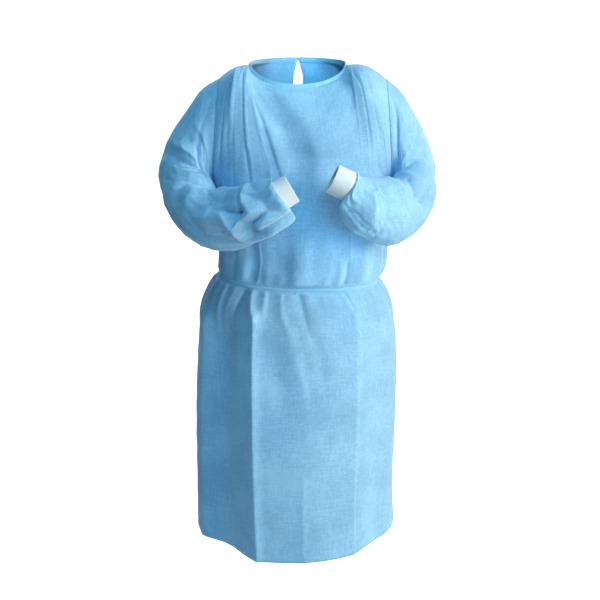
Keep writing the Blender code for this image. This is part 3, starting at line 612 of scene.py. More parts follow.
# %% The folds of the body
BODY_FOLDS = table(
    Fold,
    FOLD_MILLIMETRES,
    # Pressed lines of the pack
    (-30.5, -0.492, -22.5, -0.56, 7.5, 12, 0.8, 0, 0.3, 3),
    (-22.5, -0.55, -20.8, -1.18, 11.5, 22, 0.9, 0, 0.35),
    (-22.5, -0.55, -20.8, -1.18, 2.2, 5, 1),
    (-69, -0.58, -68, -1.18, 3.6, 12, 0.9),
    (32, -0.494, 34.5, -0.53, -4.5, 8, 0.8),
    (34.5, -0.52, 32.5, -0.74, 5, 16, 0.9, 0.4, 0.4),
    (34.8, -0.53, 32.8, -0.72, -1.6, 3, 0.9, 0.2),
    (32.5, -0.7, 34.5, -1.18, 5.5, 18, 0.9, 0, 0.4),
    (36, -0.94, 35.5, -1.18, -1.6, 3, 0.9),
    (-27.5, -0.355, -29.5, -0.48, 4.2, 7, 1, 0, 0.2),
    (30.5, -0.36, 33, -0.455, 2.6, 6, 1, 0.2, 0.2),
    (4, -0.92, 4.5, -1.18, 2.2, 10, 1),
    (-19, -0.992, 33, -0.986, 1, 6, 1),
    (152, -0.54, 150, -1.18, 8.5, 22, 0.95, 0, 0.3),
    (-152, -0.54, -150, -1.18, 8.5, 22, 0.95, 0, -0.3),
    (150, -0.12, 151, -0.455, 4, 9, 1, 0, 0.2),
    (-150, -0.12, -151, -0.455, 4, 9, 1, 0, -0.2),
    (96, -0.986, 175, -0.99, 1, 6, 1),
    (-96, -0.986, -175, -0.99, 1, 6, 1),
    # The skirt lies flatter between them
    (-49, -0.62, -46, -1.18, -32, 66),
    (-68, -0.6, -66, -1.18, 6, 26),
    (52, -0.68, 52, -1.18, -11, 50),
    (10, -0.76, 8, -1.18, 2.6, 60),
    (-17, -0.84, -17, -1.18, 3, 30),
    (-9, -0.64, -5, -0.86, -4, 26, 0, 0.8),
    # Fullness drawn in by the belt, at the front
    (-20.5, -0.494, -17, -0.56, 4, 7, 0.5, 0.9, 0.3),
    (-10, -0.495, -2, -0.59, 4, 8, 0.6, 0.6, 0.4, 4),
    (-2.5, -0.585, 6, -0.79, 3.4, 12, 0.5, 0.9, 0.4, 2),
    (0.5, -0.496, 6, -0.6, -4.2, 9, 0.5, 0.8),
    (8, -0.6, 14, -0.74, -2, 12, 0.3, 0.8),
    (14, -0.494, 17, -0.56, 1.4, 8, 0.3, 0.9),
    (-38, -0.495, -40, -0.57, -2.8, 8, 0.5, 0.8),
    (-46, -0.495, -48, -0.61, 2.6, 9, 0.5, 0.8, 0, 3),
    (-57, -0.495, -56, -0.64, 3.4, 10, 0.6, 0.8, 0.3, -3),
    (-66, -0.495, -68, -0.59, 2.2, 8, 0.5, 0.8),
    (-75, -0.495, -71, -0.62, 3, 9, 0.6, 0.8),
    (44, -0.495, 42, -0.56, 1.4, 8, 0.4, 0.8),
    (57, -0.495, 55, -0.61, 2.2, 10, 0.4, 0.8),
    (71, -0.495, 70, -0.59, 1.8, 9, 0.4, 0.8),
    (82, -0.495, 80, -0.6, 2, 10, 0.4, 0.8),
    # and at the back
    (96, -0.498, 97, -0.62, 4.4, 11, 0.4, 0.8, 0.2),
    (106, -0.498, 109, -0.66, 5.2, 13, 0.5, 0.8),
    (116, -0.498, 116, -0.59, -4, 10, 0.3, 0.8),
    (124, -0.498, 127, -0.7, 6, 14, 0.5, 0.8, 0.2, 4),
    (134, -0.498, 135, -0.6, 4, 9, 0.4, 0.8),
    (142, -0.498, 146, -0.64, 5.2, 12, 0.5, 0.8),
    (160, -0.498, 162, -0.62, 4.5, 12, 0.4, 0.8),
    (-95, -0.498, -96, -0.64, 4.6, 12, 0.4, 0.8, 0.2),
    (-104, -0.498, -107, -0.6, 3.8, 10, 0.5, 0.8),
    (-114, -0.498, -117, -0.69, 5.8, 14, 0.4, 0.8),
    (-126, -0.498, -127, -0.61, 4.4, 10, 0.5, 0.8, 0.2),
    (-134, -0.498, -137, -0.68, 5.4, 13, 0.4, 0.8, 0, -4),
    (-146, -0.498, -147, -0.6, 4.2, 10, 0.5, 0.8),
    (-160, -0.498, -162, -0.64, 4.6, 12, 0.4, 0.8),
    # Blousing above the belt
    (31, -0.435, 31.5, -0.472, -7.5, 10, 0.2),
    (24, -0.43, 26, -0.474, 4, 10, 0.3),
    (-38.6, -0.38, -42, -0.462, 7, 20, 0.1),
    (44, -0.39, 46, -0.47, 6.5, 20, 0.1),
    (-12, -0.4, -12, -0.47, 3, 14, 0.2),
    (-42, -0.424, -14, -0.428, -7, 26),
    (-36, -0.36, -35, -0.47, -11, 30, 0.1),
    (6, -0.36, 4, -0.47, -4.5, 18, 0.1),
    (17, -0.41, 16, -0.472, 2.5, 10, 0.3),
    (-52, -0.4, -54, -0.472, -3.5, 12, 0.3),
    (-64, -0.39, -66, -0.47, 5, 14, 0.3),
    (-76, -0.42, -77, -0.472, -3.5, 9, 0.3),
    (58, -0.41, 60, -0.472, -3.5, 10, 0.3),
    (68, -0.4, 70, -0.47, 4, 12, 0.3),
    (80, -0.36, 82, -0.455, 9, 24, 0.1),
    (-84, -0.39, -86, -0.468, 5, 18, 0.2),
    (98, -0.4, 99, -0.47, -4, 10, 0.3),
    (110, -0.34, 112, -0.468, 6, 18, 0.2),
    (124, -0.4, 125, -0.47, -4, 11, 0.3),
    (135, -0.33, 138, -0.468, 6.5, 18, 0.2),
    (160, -0.36, 161, -0.466, 4.5, 14, 0.2),
    (-98, -0.38, -99, -0.47, -4, 11, 0.3),
    (-110, -0.34, -112, -0.468, 6, 18, 0.2),
    (-123, -0.4, -125, -0.47, -4, 10, 0.3),
    (-134, -0.33, -138, -0.468, 6.5, 18, 0.2),
    (-160, -0.36, -161, -0.466, 4.5, 14, 0.2),
    # Drapes from the wearer's right shoulder: thin creases with flat cloth between them
    (-40, -0.025, -20, -0.128, -2.2, 3.8, 0.8, 0, 0.3, 2),
    (-20.5, -0.122, -8, -0.262, -2.4, 3.6, 0.9, 0.1, 0.3, -3),
    (-30, -0.075, -14, -0.24, 2, 8, 0.4, 0.2),
    (-44, -0.06, -31.5, -0.235, -2.2, 3.6, 0.9, 0, 0.3, 4),
    (-32, -0.215, -27, -0.292, -3.8, 4.2, 0.9, 0.1, 0.4),
    (-37, -0.12, -28.5, -0.262, 1.6, 6, 0.5, 0.3),
    (-53, -0.07, -44, -0.29, -1.2, 5, 0.7, 0.3),
    (-62, -0.06, -53, -0.24, -1, 5, 0.8, 0.4),
    (-70, -0.09, -64, -0.28, -1.8, 8, 0.5, 0.2),
    (-70, -0.262, -42, -0.3, -4.6, 12, 0.3, 0.2),
    (-52, -0.255, -34, -0.262, 2.2, 6, 0.7, 0.4),
    (-16, -0.235, -12, -0.34, 2.2, 6, 0.7, 0.6),
    (-28, -0.045, -18, -0.085, -1, 4, 0.8, 0.6),
    (-46, -0.03, -49, -0.11, 1.4, 5, 0.8, 0.6),
    (-56, -0.045, -55, -0.15, 7, 18, 0.2, 0.5, -0.2),
    # and from the left one
    (38, -0.022, 48, -0.1, -1.8, 3.4, 0.9, 0, -0.4, -2),
    (48, -0.1, 45, -0.29, -1.4, 3.4, 0.9, 0.3, -0.4),
    (38.5, -0.05, 37, -0.27, 0.8, 4, 0.9, 0.4),
    (50, -0.05, 50, -0.25, 0.8, 5, 0.6, 0.3),
    (58, -0.06, 61, -0.2, -1.2, 7, 0.5, 0.3),
    (71, -0.08, 72, -0.24, 1, 6, 0.5, 0.4),
    (54, -0.24, 76, -0.268, -3, 8, 0.5, 0.2, 0, 4),
    # A broad ridge crosses the chest and runs down to the belt, with a smaller one beside it
    (-4, -0.035, 5, -0.105, 8, 32, 0.1, 1, -0.3),
    (5, -0.105, 8.5, -0.185, 11, 36, 0.1, 1, -0.3),
    (8.5, -0.185, 5, -0.3, 11.5, 36, 0.1, 1, -0.3),
    (5, -0.3, 0, -0.462, 14.5, 38, 0.1, 0, -0.3),
    (-15, -0.14, -6, -0.262, 6.8, 20, 0.2, 0.2, -0.2),
    (34, -0.03, 34, -0.17, -12, 40, 0.1, 0.5),
    (-24, -0.06, -10, -0.11, -2, 20),
    (-14, -0.3, -11, -0.44, -3, 20, 0, 0.2),
    # Drapes of the back
    (118, -0.05, 128, -0.33, -6.5, 18, 0.3, 0.3, 0, 6),
    (-118, -0.05, -126, -0.34, -6.5, 18, 0.3, 0.3, 0, -6),
    (128, -0.045, 139, -0.32, 5, 14, 0.5, 0.4, 0.2),
    (-127, -0.045, -137, -0.3, 5, 14, 0.5, 0.4, -0.2),
    (137, -0.04, 149, -0.25, -5, 13, 0.5, 0.5),
    (-136, -0.04, -147, -0.27, -5, 13, 0.5, 0.5),
    (104, -0.08, 108, -0.3, 3.5, 14, 0.3, 0.4),
    (-103, -0.08, -108, -0.29, 3.5, 14, 0.3, 0.4),
)
print("Folds of the body:", len(BODY_FOLDS))

# %% The cloth of the body
SEAM_RISE = 0.0011
SEAM_REACH = 0.0035
SEAM_TOP_REACH = 0.005
SEWN_DROP = 0.03  # how far down from the neckline and the shoulder the sewing holds folds flat
SEWN_SHARE = 0.12  # and how far in from the armhole
BELT_HALF = 0.0035
BELT_EASE = 0.012
RIPPLE_RISE = 0.0005
RIPPLE_REACH = 0.05


def body_fade(angle, level):
    """Folds die away under the belt, and where panels are sewn at armhole and shoulder."""
    sewn = smooth((NECK_LEVEL - level) / SEWN_DROP)
    sewn = sewn * smooth((1 - across_half(angle)) / SEWN_SHARE)
    gathered = smooth((np.abs(level - BELT_LEVEL) - BELT_HALF) / BELT_EASE)
    return np.where(level > UNDERARM_LEVEL, sewn, gathered)


def body_seams(angle, level):
    """Cloth beside a seam stands a millimetre proud of the seam itself."""
    side = np.abs(np.abs(angle) - 90) * METRES_PER_DEGREE
    ridge = np.where(across_half(angle) > NECK_SHARE, NECK_LEVEL - level, 1.0)
    return SEAM_RISE * (1 - bump(side, SEAM_REACH)) * (1 - bump(ridge, SEAM_TOP_REACH))


def small_ripples(angle, level):
    """Shallow waves that a thin sheet always has, stronger near the belt."""
    near_belt = bump(level - BELT_LEVEL, RIPPLE_REACH)
    around, down = angle * METRES_PER_DEGREE, level
    short_waves = np.sin(around * 190 + 2.1 * np.sin(down * 31 + 1.0)) * near_belt
    return crumple(FINE_CREASES, around, down) + RIPPLE_RISE * short_waves


def body_point(angle, level, lift=0.0):
    """A point on the folded cloth of the body, lifted off it by a given amount."""
    angle, level = np.broadcast_arrays(np.asarray(angle, float), np.asarray(level, float))
    height = fold_sum(BODY_FOLDS, angle, level, METRES_PER_DEGREE, 1.0)
    height = (height + small_ripples(angle, level)) * body_fade(angle, level)
    height = height + body_seams(angle, level) + lift
    return plain_body(angle, level) + body_normal(angle, level) * height[..., None]


print("The cloth above the belt stands at", body_point(0.0, BELT_LEVEL + 0.02).round(3))

# %% [markdown]
# ## The form of the sleeves
# Each sleeve is a row of rings along the bent arm. A ring is known by its outermost point, on the
# side of the shoulder and the elbow, by its innermost point, and by how far it bulges to front
# and back. The sleeve starts on the armhole of the body, and ends where the cuff is sewn on.

# %% Sections of the sleeves
SleeveSection = namedtuple(
    "SleeveSection", "along outer_x outer_y outer_z inner_x inner_y inner_z front back"
)
RIGHT_SLEEVE = table(
    SleeveSection,
    SleeveSection._fields[1:],
    (0, -180, 0, -29, -194, 0, -275, 88, 84),
    (0.08, -222, 0, -53, -199, -2, -281, 88, 84),
    (0.16, -258, -1, -103, -203, -6, -287, 87, 83),
    (0.25, -298, -6, -168, -200, -14, -290, 86, 82),
    (0.34, -321, -18, -240, -196, -30, -288, 83, 80),
    (0.43, -312, -33, -294, -187, -62, -283, 78, 68),
    (0.52, -287, -60, -338, -178, -98, -272, 72, 56),
    (0.61, -247, -94, -378, -167, -130, -264, 66, 48),
    (0.7, -199, -130, -402, -150, -156, -259, 62, 44),
    (0.79, -142, -158, -400, -118, -178, -252, 60, 47),
    (0.87, -94, -186, -379, -84, -198, -241, 58, 46),
    (0.92, -50, -206, -355, -62, -209, -236, 53, 44),
    (0.96, -14, -214, -328, -56, -213, -236, 46, 41),
    (1, -28, -218, -303, -62, -218, -244, 34, 34),
)
LEFT_SLEEVE = table(
    SleeveSection,
    SleeveSection._fields[1:],
    (0, 200, 0, -29, 214, 0, -275, 88, 84),
    (0.08, 236, 0, -57, 219, -2, -281, 88, 84),
    (0.16, 267, 0, -106, 221, -6, -287, 87, 83),
    (0.25, 300, -4, -172, 219, -14, -290, 86, 82),
    (0.34, 317, -12, -240, 214, -30, -283, 83, 78),
    (0.43, 301, -30, -292, 205, -64, -267, 78, 64),
    (0.52, 288, -62, -337, 200, -98, -250, 72, 50),
    (0.61, 248, -100, -375, 194, -132, -240, 66, 42),
    (0.7, 206, -136, -394, 178, -158, -237, 62, 38),
    (0.79, 165, -166, -378, 160, -180, -236, 60, 42),
    (0.87, 136, -182, -364, 144, -192, -234, 58, 46),
    (0.92, 114, -200, -350, 135, -204, -231, 53, 44),
    (0.96, 99, -208, -326, 129, -210, -224, 46, 41),
    (1, 96, -216, -282, 126, -216, -220, 34, 34),
)
RIGHT_CUFF_MOUTH = np.array((-0.013, -0.2155, -0.2545))
LEFT_CUFF_MOUTH = np.array((0.0745, -0.217, -0.2335))
print("Rings of a sleeve:", len(RIGHT_SLEEVE))

# %% [markdown]
# ### Folds of the sleeves
# A bent sleeve buckles at the crook of the elbow: short ridges fan out from it across the upper
# arm, and long ones run down the forearm. Near the cuff the wide sleeve is drawn in to a small
# ring, so it puffs out in deep, uneven gathers. Places are given as degrees round the arm, 0 at
# the outside of the elbow and 90 at the front, and the share of the way down to the cuff.

# %% The folds of the sleeves
# Both sleeves have these on the side that the photograph hides
HIDDEN_FOLDS = table(
    Fold,
    FOLD_MILLIMETRES,
    (330, 0.05, 300, 0.24, -5, 16, 0.3, 0.3),
    (215, 0.36, 320, 0.33, -6, 13, 0.4, 0.2),
    (210, 0.48, 330, 0.5, -5, 13, 0.4, 0.2),
    (230, 0.86, 330, 0.88, -4, 10, 0.5, 0.1),
)
RIGHT_SLEEVE_FOLDS = HIDDEN_FOLDS + table(
    Fold,
    FOLD_MILLIMETRES,
    # Across the upper arm and into the crook of the elbow
    (32, 0.262, 62, 0.252, 5.2, 5, 1, 0, 0.3),
    (60, 0.252, 96, 0.218, 4.6, 5, 1, 0.4, 0.3),
    (66, 0.385, 90, 0.435, 3.4, 7, 0.8, 0.9, 0.3),
    (88, 0.435, 124, 0.4, 5, 8, 0.8, 0.9, 0.3, 3),
    (122, 0.4, 160, 0.47, 5.6, 8, 0.8, 0.1, 0.3),
    (50, 0.145, 100, 0.08, 3.4, 7, 0.8, 0.3, 0.3),
    (84, 0.18, 134, 0.3, -3.6, 9, 0.5, 0.3, 0.3, 2),
    # The puff before the cuff folds back over the forearm
    (144, 0.806, 104, 0.846, -6, 6, 0.9),
    (104, 0.846, 46, 0.886, -6, 6, 0.9),
    (106, 0.768, 40, 0.868, 3, 5, 1, 0, 0, 3),
    # Down the upper arm
    (60, 0.05, 100, 0.24, -4, 12, 0.4, 0.3),
    (112, 0.06, 128, 0.2, 3, 7, 0.7, 0.4, 0.2),
)
LEFT_SLEEVE_FOLDS = HIDDEN_FOLDS + table(
    Fold,
    FOLD_MILLIMETRES,
    # The fan from the crook of the elbow, and the deep fold at its outside
    (124, 0.29, 46, 0.29, -8, 7.5, 0.7, 0.3, 0.2),
    (128, 0.34, 50, 0.345, 4, 7, 0.8, 0.4, 0.2),
    (130, 0.395, 70, 0.43, -4, 7, 0.7, 0.5, 0.2),
    (136, 0.56, 104, 0.602, -6, 6, 0.8),
    (104, 0.6, 78, 0.568, -9, 8, 0.6),
    (82, 0.568, 48, 0.535, -14, 16, 0.3),
    # The dimple beside the armhole
    (60, 0.05, 92, 0.075, -6.5, 9, 0.5, 0.1, 0.2),
    (48, 0.06, 62, 0.15, 2.8, 7, 0.7, 0.4),
    (100, 0.08, 118, 0.19, -4, 8, 0.6, 0.3, 0.2),
    # Along the forearm
    (113, 0.8, 104, 0.62, -2.2, 3.5, 1, 0.1),
    (125, 0.86, 124, 0.82, -2.6, 3.5, 1),
    (128, 0.888, 40, 0.878, 2.8, 5, 1),
    (26, 0.92, 18, 0.83, -4, 5, 0.8),
    (72, 0.93, 50, 0.965, -3.4, 5, 0.8),
)
print("Folds of the sleeves:", len(RIGHT_SLEEVE_FOLDS), "and", len(LEFT_SLEEVE_FOLDS))

# %% [markdown]
# ### Facets of the sleeves
# A crumpled sleeve of this stiff, papery cloth breaks into flat facets. Each row below is one
# corner of such facets, with its height. Straight creases join neighbouring corners, so a high
# corner beside a low one gives a bright and a dark facet, just where the photograph has them.
# The side that it hides shares one table of similar facets.

# %% The facets of the sleeves
SLEEVE_DEGREE = 0.0014  # metres round the arm, near enough for folds
SLEEVE_LENGTH = 0.55
Facet = namedtuple("Facet", "turn along height")
HIDDEN_FACETS = table(
    Facet,
    ("height",),
    (185, 0.12, -1), (215, 0.08, 2), (250, 0.1, -2), (290, 0.07, 2), (330, 0.12, -2),
    (350, 0.2, 1), (160, 0.15, 0), (205, 0.2, 3), (240, 0.2, -3), (275, 0.18, 3), (310, 0.22, -2),
    (345, 0.28, 2), (165, 0.25, -1), (190, 0.32, -4), (220, 0.3, 3), (255, 0.3, -4),
    (290, 0.32, 3), (325, 0.34, -3), (0, 0.33, 2), (180, 0.42, 3), (205, 0.42, 5), (235, 0.4, -4),
    (265, 0.42, 4), (300, 0.44, -4), (335, 0.44, 3), (5, 0.42, -2), (45, 0.43, 0), (190, 0.52, -4),
    (222, 0.52, 4), (250, 0.5, -3), (282, 0.53, 4), (315, 0.54, -3), (350, 0.52, 2), (35, 0.5, 2),
    (178, 0.62, 3), (208, 0.61, -4), (238, 0.62, 5), (270, 0.61, -4), (300, 0.63, 3),
    (335, 0.62, -3), (15, 0.6, 1), (190, 0.71, -3), (222, 0.72, 4), (252, 0.7, -4), (285, 0.72, 4),
    (318, 0.71, -4), (350, 0.7, 2), (20, 0.7, -2), (182, 0.81, 3), (210, 0.8, -4), (240, 0.82, 4),
    (270, 0.8, -3), (300, 0.82, 4), (330, 0.8, -3), (2, 0.8, 2), (195, 0.9, 3), (225, 0.89, -3),
    (255, 0.91, 4), (285, 0.89, -3), (315, 0.91, 3), (345, 0.9, -2), (12, 0.92, 1),
)
RIGHT_FACETS = HIDDEN_FACETS + table(
    Facet,
    ("height",),
    (24, 0.19, 1.5), (52, 0.12, -1.5), (56, 0.04, 0), (36, 0.25, 3.7), (64, 0.24, 4.5),
    (88, 0.21, 3.7), (60, 0.19, -2.3), (80, 0.12, 0), (32, 0.29, -2.3), (68, 0.31, -3.7),
    (92, 0.31, -1.5), (36, 0.33, 1.5), (92, 0.44, 7.6), (116, 0.45, 11), (132, 0.43, 11.9),
    (128, 0.32, 9), (84, 0.48, -4.3), (116, 0.5, -8.5), (136, 0.52, -9.3), (144, 0.6, -8.5),
    (120, 0.56, 7.6), (108, 0.59, 9.3), (92, 0.61, 5.9), (140, 0.64, -5.9), (120, 0.69, -8.5),
    (112, 0.72, -8.5), (136, 0.58, 1.7), (88, 0.54, -1.7), (84, 0.51, 0.8), (84, 0.58, -2.6),
    (72, 0.57, 0), (76, 0.62, 1.7), (96, 0.71, 8.5), (104, 0.76, 11), (76, 0.83, 12.7),
    (44, 0.86, 11), (72, 0.68, -5.9), (64, 0.72, -4.3), (60, 0.78, -8.5), (40, 0.82, -5.9),
    (84, 0.64, -5.1), (60, 0.63, 0), (56, 0.68, 1.7), (48, 0.74, 1.7), (128, 0.74, -10.2),
    (112, 0.77, -5.1), (160, 0.74, 2.6), (136, 0.83, 9.3), (112, 0.86, 11), (96, 0.88, 13.6),
    (68, 0.9, 14.5), (36, 0.92, 11.9), (100, 0.85, -8.5), (72, 0.88, -10.2), (48, 0.89, -5.1),
    (136, 0.89, -3.4), (112, 0.91, -5.1), (92, 0.92, -5.9), (60, 0.94, -3.4), (132, 0.87, -6.8),
    (140, 0.93, 4.3), (104, 0.95, 5.1), (68, 0.96, 6.8), (32, 0.96, 5.1), (164, 0.95, 1.7),
)
LEFT_FACETS = HIDDEN_FACETS + table(
    Facet,
    ("height",),
    (44, 0.07, 0), (36, 0.16, 1.5), (72, 0.1, -1), (48, 0.22, 0.5), (76, 0.2, 1.5), (40, 0.26, -1),
    (48, 0.3, -4.5), (84, 0.29, -4.5), (116, 0.3, -4.5), (96, 0.2, 2.5), (60, 0.25, 3),
    (116, 0.44, 4), (144, 0.48, 3.5), (72, 0.42, 2), (108, 0.49, 0), (160, 0.52, -6.5),
    (140, 0.59, -6.5), (120, 0.6, -7), (100, 0.59, -6), (88, 0.57, -8), (124, 0.54, 4),
    (104, 0.54, 2), (136, 0.65, 4), (112, 0.65, 4.5), (84, 0.62, 2), (88, 0.68, 0),
    (116, 0.79, -3), (112, 0.74, -3), (108, 0.69, -2), (128, 0.76, 2.5), (144, 0.8, 0),
    (148, 0.71, 1.5), (96, 0.76, 3), (76, 0.81, 1), (72, 0.74, -1), (52, 0.77, 1), (40, 0.83, -1),
    (124, 0.89, 6), (96, 0.89, 8), (68, 0.89, 7.5), (28, 0.83, 1), (96, 0.93, -6), (72, 0.92, -6),
    (48, 0.91, -4), (80, 0.96, -9), (52, 0.95, -8), (36, 0.98, -8), (20, 0.95, -6), (24, 0.91, 1),
    (132, 0.92, -2),
)
print("Corners of facets:", len(RIGHT_FACETS), "and", len(LEFT_FACETS))

# %% How the facets are read
TURN_WRAPS = (-360, 0, 360)
FACET_SOFTNESS = 0.0016


def facet_net(facets):
    """Triangles between the corners, over the unrolled sleeve and a little past its edges."""
    rows = [Facet(turn, along, 0.0) for turn in range(0, 360, 45) for along in (-0.03, 1.03)]
    rows += facets
    wrapped = [row._replace(turn=row.turn + wrap) for wrap in TURN_WRAPS for row in rows]
    kept = [row for row in wrapped if -60 < row.turn < 420]
    flat = [Vector((row.turn * SLEEVE_DEGREE, row.along * SLEEVE_LENGTH)) for row in kept]
    places, _, triangles, sources, *_ = delaunay_2d_cdt(flat, [], [], 0, 1e-6)
    heights = np.array([kept[source[0]].height for source in sources])
    return np.array(places), heights, np.array(triangles)


def facet_height(net, along, turn):
    """Height on the flat facets, by each place's shares of its triangle's three corners."""
    places, heights, triangles = net
    x, y = np.broadcast_arrays(turn * SLEEVE_DEGREE, along * SLEEVE_LENGTH)
    total = np.zeros(x.shape)
    for corners in triangles:
        (ax, ay), (bx, by), (cx, cy) = places[corners]
        size = (bx - ax) * (cy - ay) - (by - ay) * (cx - ax)
        near = (x >= min(ax, bx, cx)) & (x <= max(ax, bx, cx)) & (y >= min(ay, by, cy))
        near &= y <= max(ay, by, cy)
        px, py = x[near], y[near]
        share_b = ((px - ax) * (cy - ay) - (py - ay) * (cx - ax)) / size
        share_c = ((bx - ax) * (py - ay) - (by - ay) * (px - ax)) / size
        share_a = 1 - share_b - share_c
        inside = (share_a >= 0) & (share_b >= 0) & (share_c >= 0)
        height = share_a * heights[corners[0]] + share_b * heights[corners[1]]
        height += share_c * heights[corners[2]]
        total[near] = np.where(inside, height, total[near])
    return total


print("Facets of the right sleeve:", len(facet_net(RIGHT_FACETS)[2]))

# %% [markdown]
# ### Gathers of the sleeves
# Where the wide sleeve is sewn to the small cuff, its end is drawn in to many small pleats. They
# differ in height and in how far they run up the arm.

# %% The gathers of the sleeves
GATHER_WIDENING = 9  # how many times wider a gather gets in a metre up the arm
GATHER_RUN = 0.026  # how far up the arm a gather of reach 1 runs
DRAWN_IN = 0.0022  # how far the sewn end sinks below the plain sleeve
DRAWN_IN_RUN = 0.03

# Each gather stands at a turn. Its half width is in degrees, and its reach is a share of the run.
Gather = namedtuple("Gather", "turn height width reach")
RIGHT_GATHERS = table(
    Gather,
    ("height",),
    (4, 6.2, 9, 0.95), (27, 4.8, 8, 0.7), (46, 6.6, 9, 1.1), (68, 4, 7, 0.6), (86, 6.4, 9, 1),
    (108, 5.2, 8, 0.8), (127, 6.6, 8, 1.05), (150, 4.2, 8, 0.65), (171, 5.8, 9, 0.9),
    (194, 5, 8, 0.75), (214, 6.4, 9, 1.05), (239, 4.4, 8, 0.7), (258, 6, 9, 0.95),
    (282, 4.8, 8, 0.75), (304, 6.4, 9, 1.05), (330, 4.6, 8, 0.7),
)
MIRROR_TURN = 353
LEFT_SHARE = 0.92
LEFT_GATHERS = tuple(
    Gather((MIRROR_TURN - row.turn) % 360, row.height * LEFT_SHARE, row.width, row.reach)
    for row in RIGHT_GATHERS
)

# Where the puffed end hangs over the cuff, or stands back from it.
Slide = namedtuple("Slide", "turn width near reach amount")
SLIDE_MILLIMETRES = ("near", "reach", "amount")
RIGHT_SLIDES = table(
    Slide,
    SLIDE_MILLIMETRES,
    (62, 40, 16, 16, 7.5),
    (20, 24, 18, 14, 5),
)
LEFT_SLIDES = table(
    Slide,
    SLIDE_MILLIMETRES,
    (34, 34, 17, 16, 12),
    (112, 44, 0, 12, -6),
)
print("Gathers at a cuff:", len(RIGHT_GATHERS))

# %% The rings of a sleeve
Arm = namedtuple("Arm", "rows folds facets gathers slides mouth")
RIGHT_ARM = Arm(
    RIGHT_SLEEVE, RIGHT_SLEEVE_FOLDS, RIGHT_FACETS, RIGHT_GATHERS, RIGHT_SLIDES, RIGHT_CUFF_MOUTH
)
LEFT_ARM = Arm(
    LEFT_SLEEVE, LEFT_SLEEVE_FOLDS, LEFT_FACETS, LEFT_GATHERS, LEFT_SLIDES, LEFT_CUFF_MOUTH
)


def arm_side(rows):
    """1 for the wearer's left arm and -1 for the right one."""
    return 1 if rows[0].outer_x > 0 else -1


def ring_end(rows, end, along):
    return points(*(read(rows, f"{end}_{axis}", along) for axis in "xyz"))


def ring_centre(rows, along):
    return (ring_end(rows, "outer", along) + ring_end(rows, "inner", along)) / 2


def ring_frame(rows, mouth, along):
    """A ring's centre, half its height, and its directions up and forward.

    Its plane holds the line from its inner to its outer point, and otherwise crosses the arm.
    The last ring is square to the cuff.
    """
    tall = ring_end(rows, "outer", along) - ring_end(rows, "inner", along)
    way = unit(ring_centre(rows, along + 0.06) - ring_centre(rows, along - 0.06))
    cuff_axis = unit(mouth - ring_centre(rows, 1.0))
    tangent = unit(mix_points(way, cuff_axis, smooth((along - 0.85) / 0.15)))
    squared = smooth((along - 0.95) / 0.05)
    lean = np.sum(unit(tall) * tangent, axis=-1) * squared
    up = unit(unit(tall) - tangent * lean[..., None])
    forward = unit(np.cross(tangent, up)) * arm_side(rows)
    return ring_centre(rows, along), np.linalg.norm(tall, axis=-1) / 2, up, forward


def ring_point(rows, mouth, along, turn, lift=0.0):
    """A point on a ring, with turn 0 at the outer point and 90 at the front."""
    centre, high, up, forward = ring_frame(rows, mouth, along)
    sine, cosine = circle(turn)
    front, back = (read(rows, side, along) for side in ("front", "back"))
    wide = np.where(sine > 0, front, back)
    rise, reach = (high + lift) * cosine, (wide + lift) * sine
    return centre + up * rise[..., None] + forward * reach[..., None]


print("The right sleeve ends at", ring_centre(RIGHT_SLEEVE, 1.0).round(3))

# %% The cloth of a sleeve
ARMHOLE_FADE = 0.06  # shares of the sleeve where its folds die away
CUFF_FADE = 0.05
ARMHOLE_BLEND = 0.3  # the share where its rings still take the armhole's shape
SEAM_DEGREES = 30.0  # how far beside the underarm seam the crumples stay low
FACET_SINK = 0.0015


def turn_between(first, second):
    return (second - first + 180) % 360 - 180


def gather_height(gathers, along, turn):
    """Waves at the drawn-in end, which open out and die away up the arm."""
    total = np.zeros(np.broadcast(along, turn).shape)
    near_cuff = (1 - along) * SLEEVE_LENGTH
    build = smooth((near_cuff + 0.002) / 0.010)
    for row in gathers:
        width = row.width * (1 + near_cuff * GATHER_WIDENING)
        hill = row.height * bump(turn_between(row.turn, turn), width)
        total += hill * build * np.exp(-near_cuff / (GATHER_RUN * row.reach))
    return total - DRAWN_IN * np.exp(-near_cuff / DRAWN_IN_RUN)


def puff_slide(slides, along, turn):
    """How far the puffed end slides along the cuff: over it where positive, off it below."""
    near_cuff = (1 - along) * SLEEVE_LENGTH
    total = np.zeros(np.broadcast(along, turn).shape)
    for row in slides:
        away = turn_between(row.turn, turn)
        total += row.amount * bump(away, row.width) * bump(near_cuff - row.near, row.reach)
    return total


def soft_facets(facets, along, turn):
    """The mean of the facets at five close places, so that a crease isn't sharper than cloth."""
    net = facet_net(facets)
    total = facet_height(net, along, turn % 360)
    for step in (-FACET_SOFTNESS, FACET_SOFTNESS):
        total = total + facet_height(net, along, (turn + step / SLEEVE_DEGREE) % 360)
        total = total + facet_height(net, along + step / SLEEVE_LENGTH, turn % 360)
    return total / 5


def sleeve_height(arm, along, turn):
    """The height of the cloth over the plain sleeve, from all that shapes it."""
    total = gather_height(arm.gathers, along, turn)
    fade = smooth(along / ARMHOLE_FADE) * smooth((1 - along) / CUFF_FADE)
    for wrap in TURN_WRAPS:
        total += fold_sum(arm.folds, turn + wrap, along, SLEEVE_DEGREE, SLEEVE_LENGTH) * fade
    seam = np.minimum(np.abs(turn - 180), SEAM_DEGREES) / SEAM_DEGREES
    small = crumple(SLEEVE_CREASES, turn * SLEEVE_DEGREE, along * SLEEVE_LENGTH)
    return total + (small * seam + soft_facets(arm.facets, along, turn) - FACET_SINK) * fade


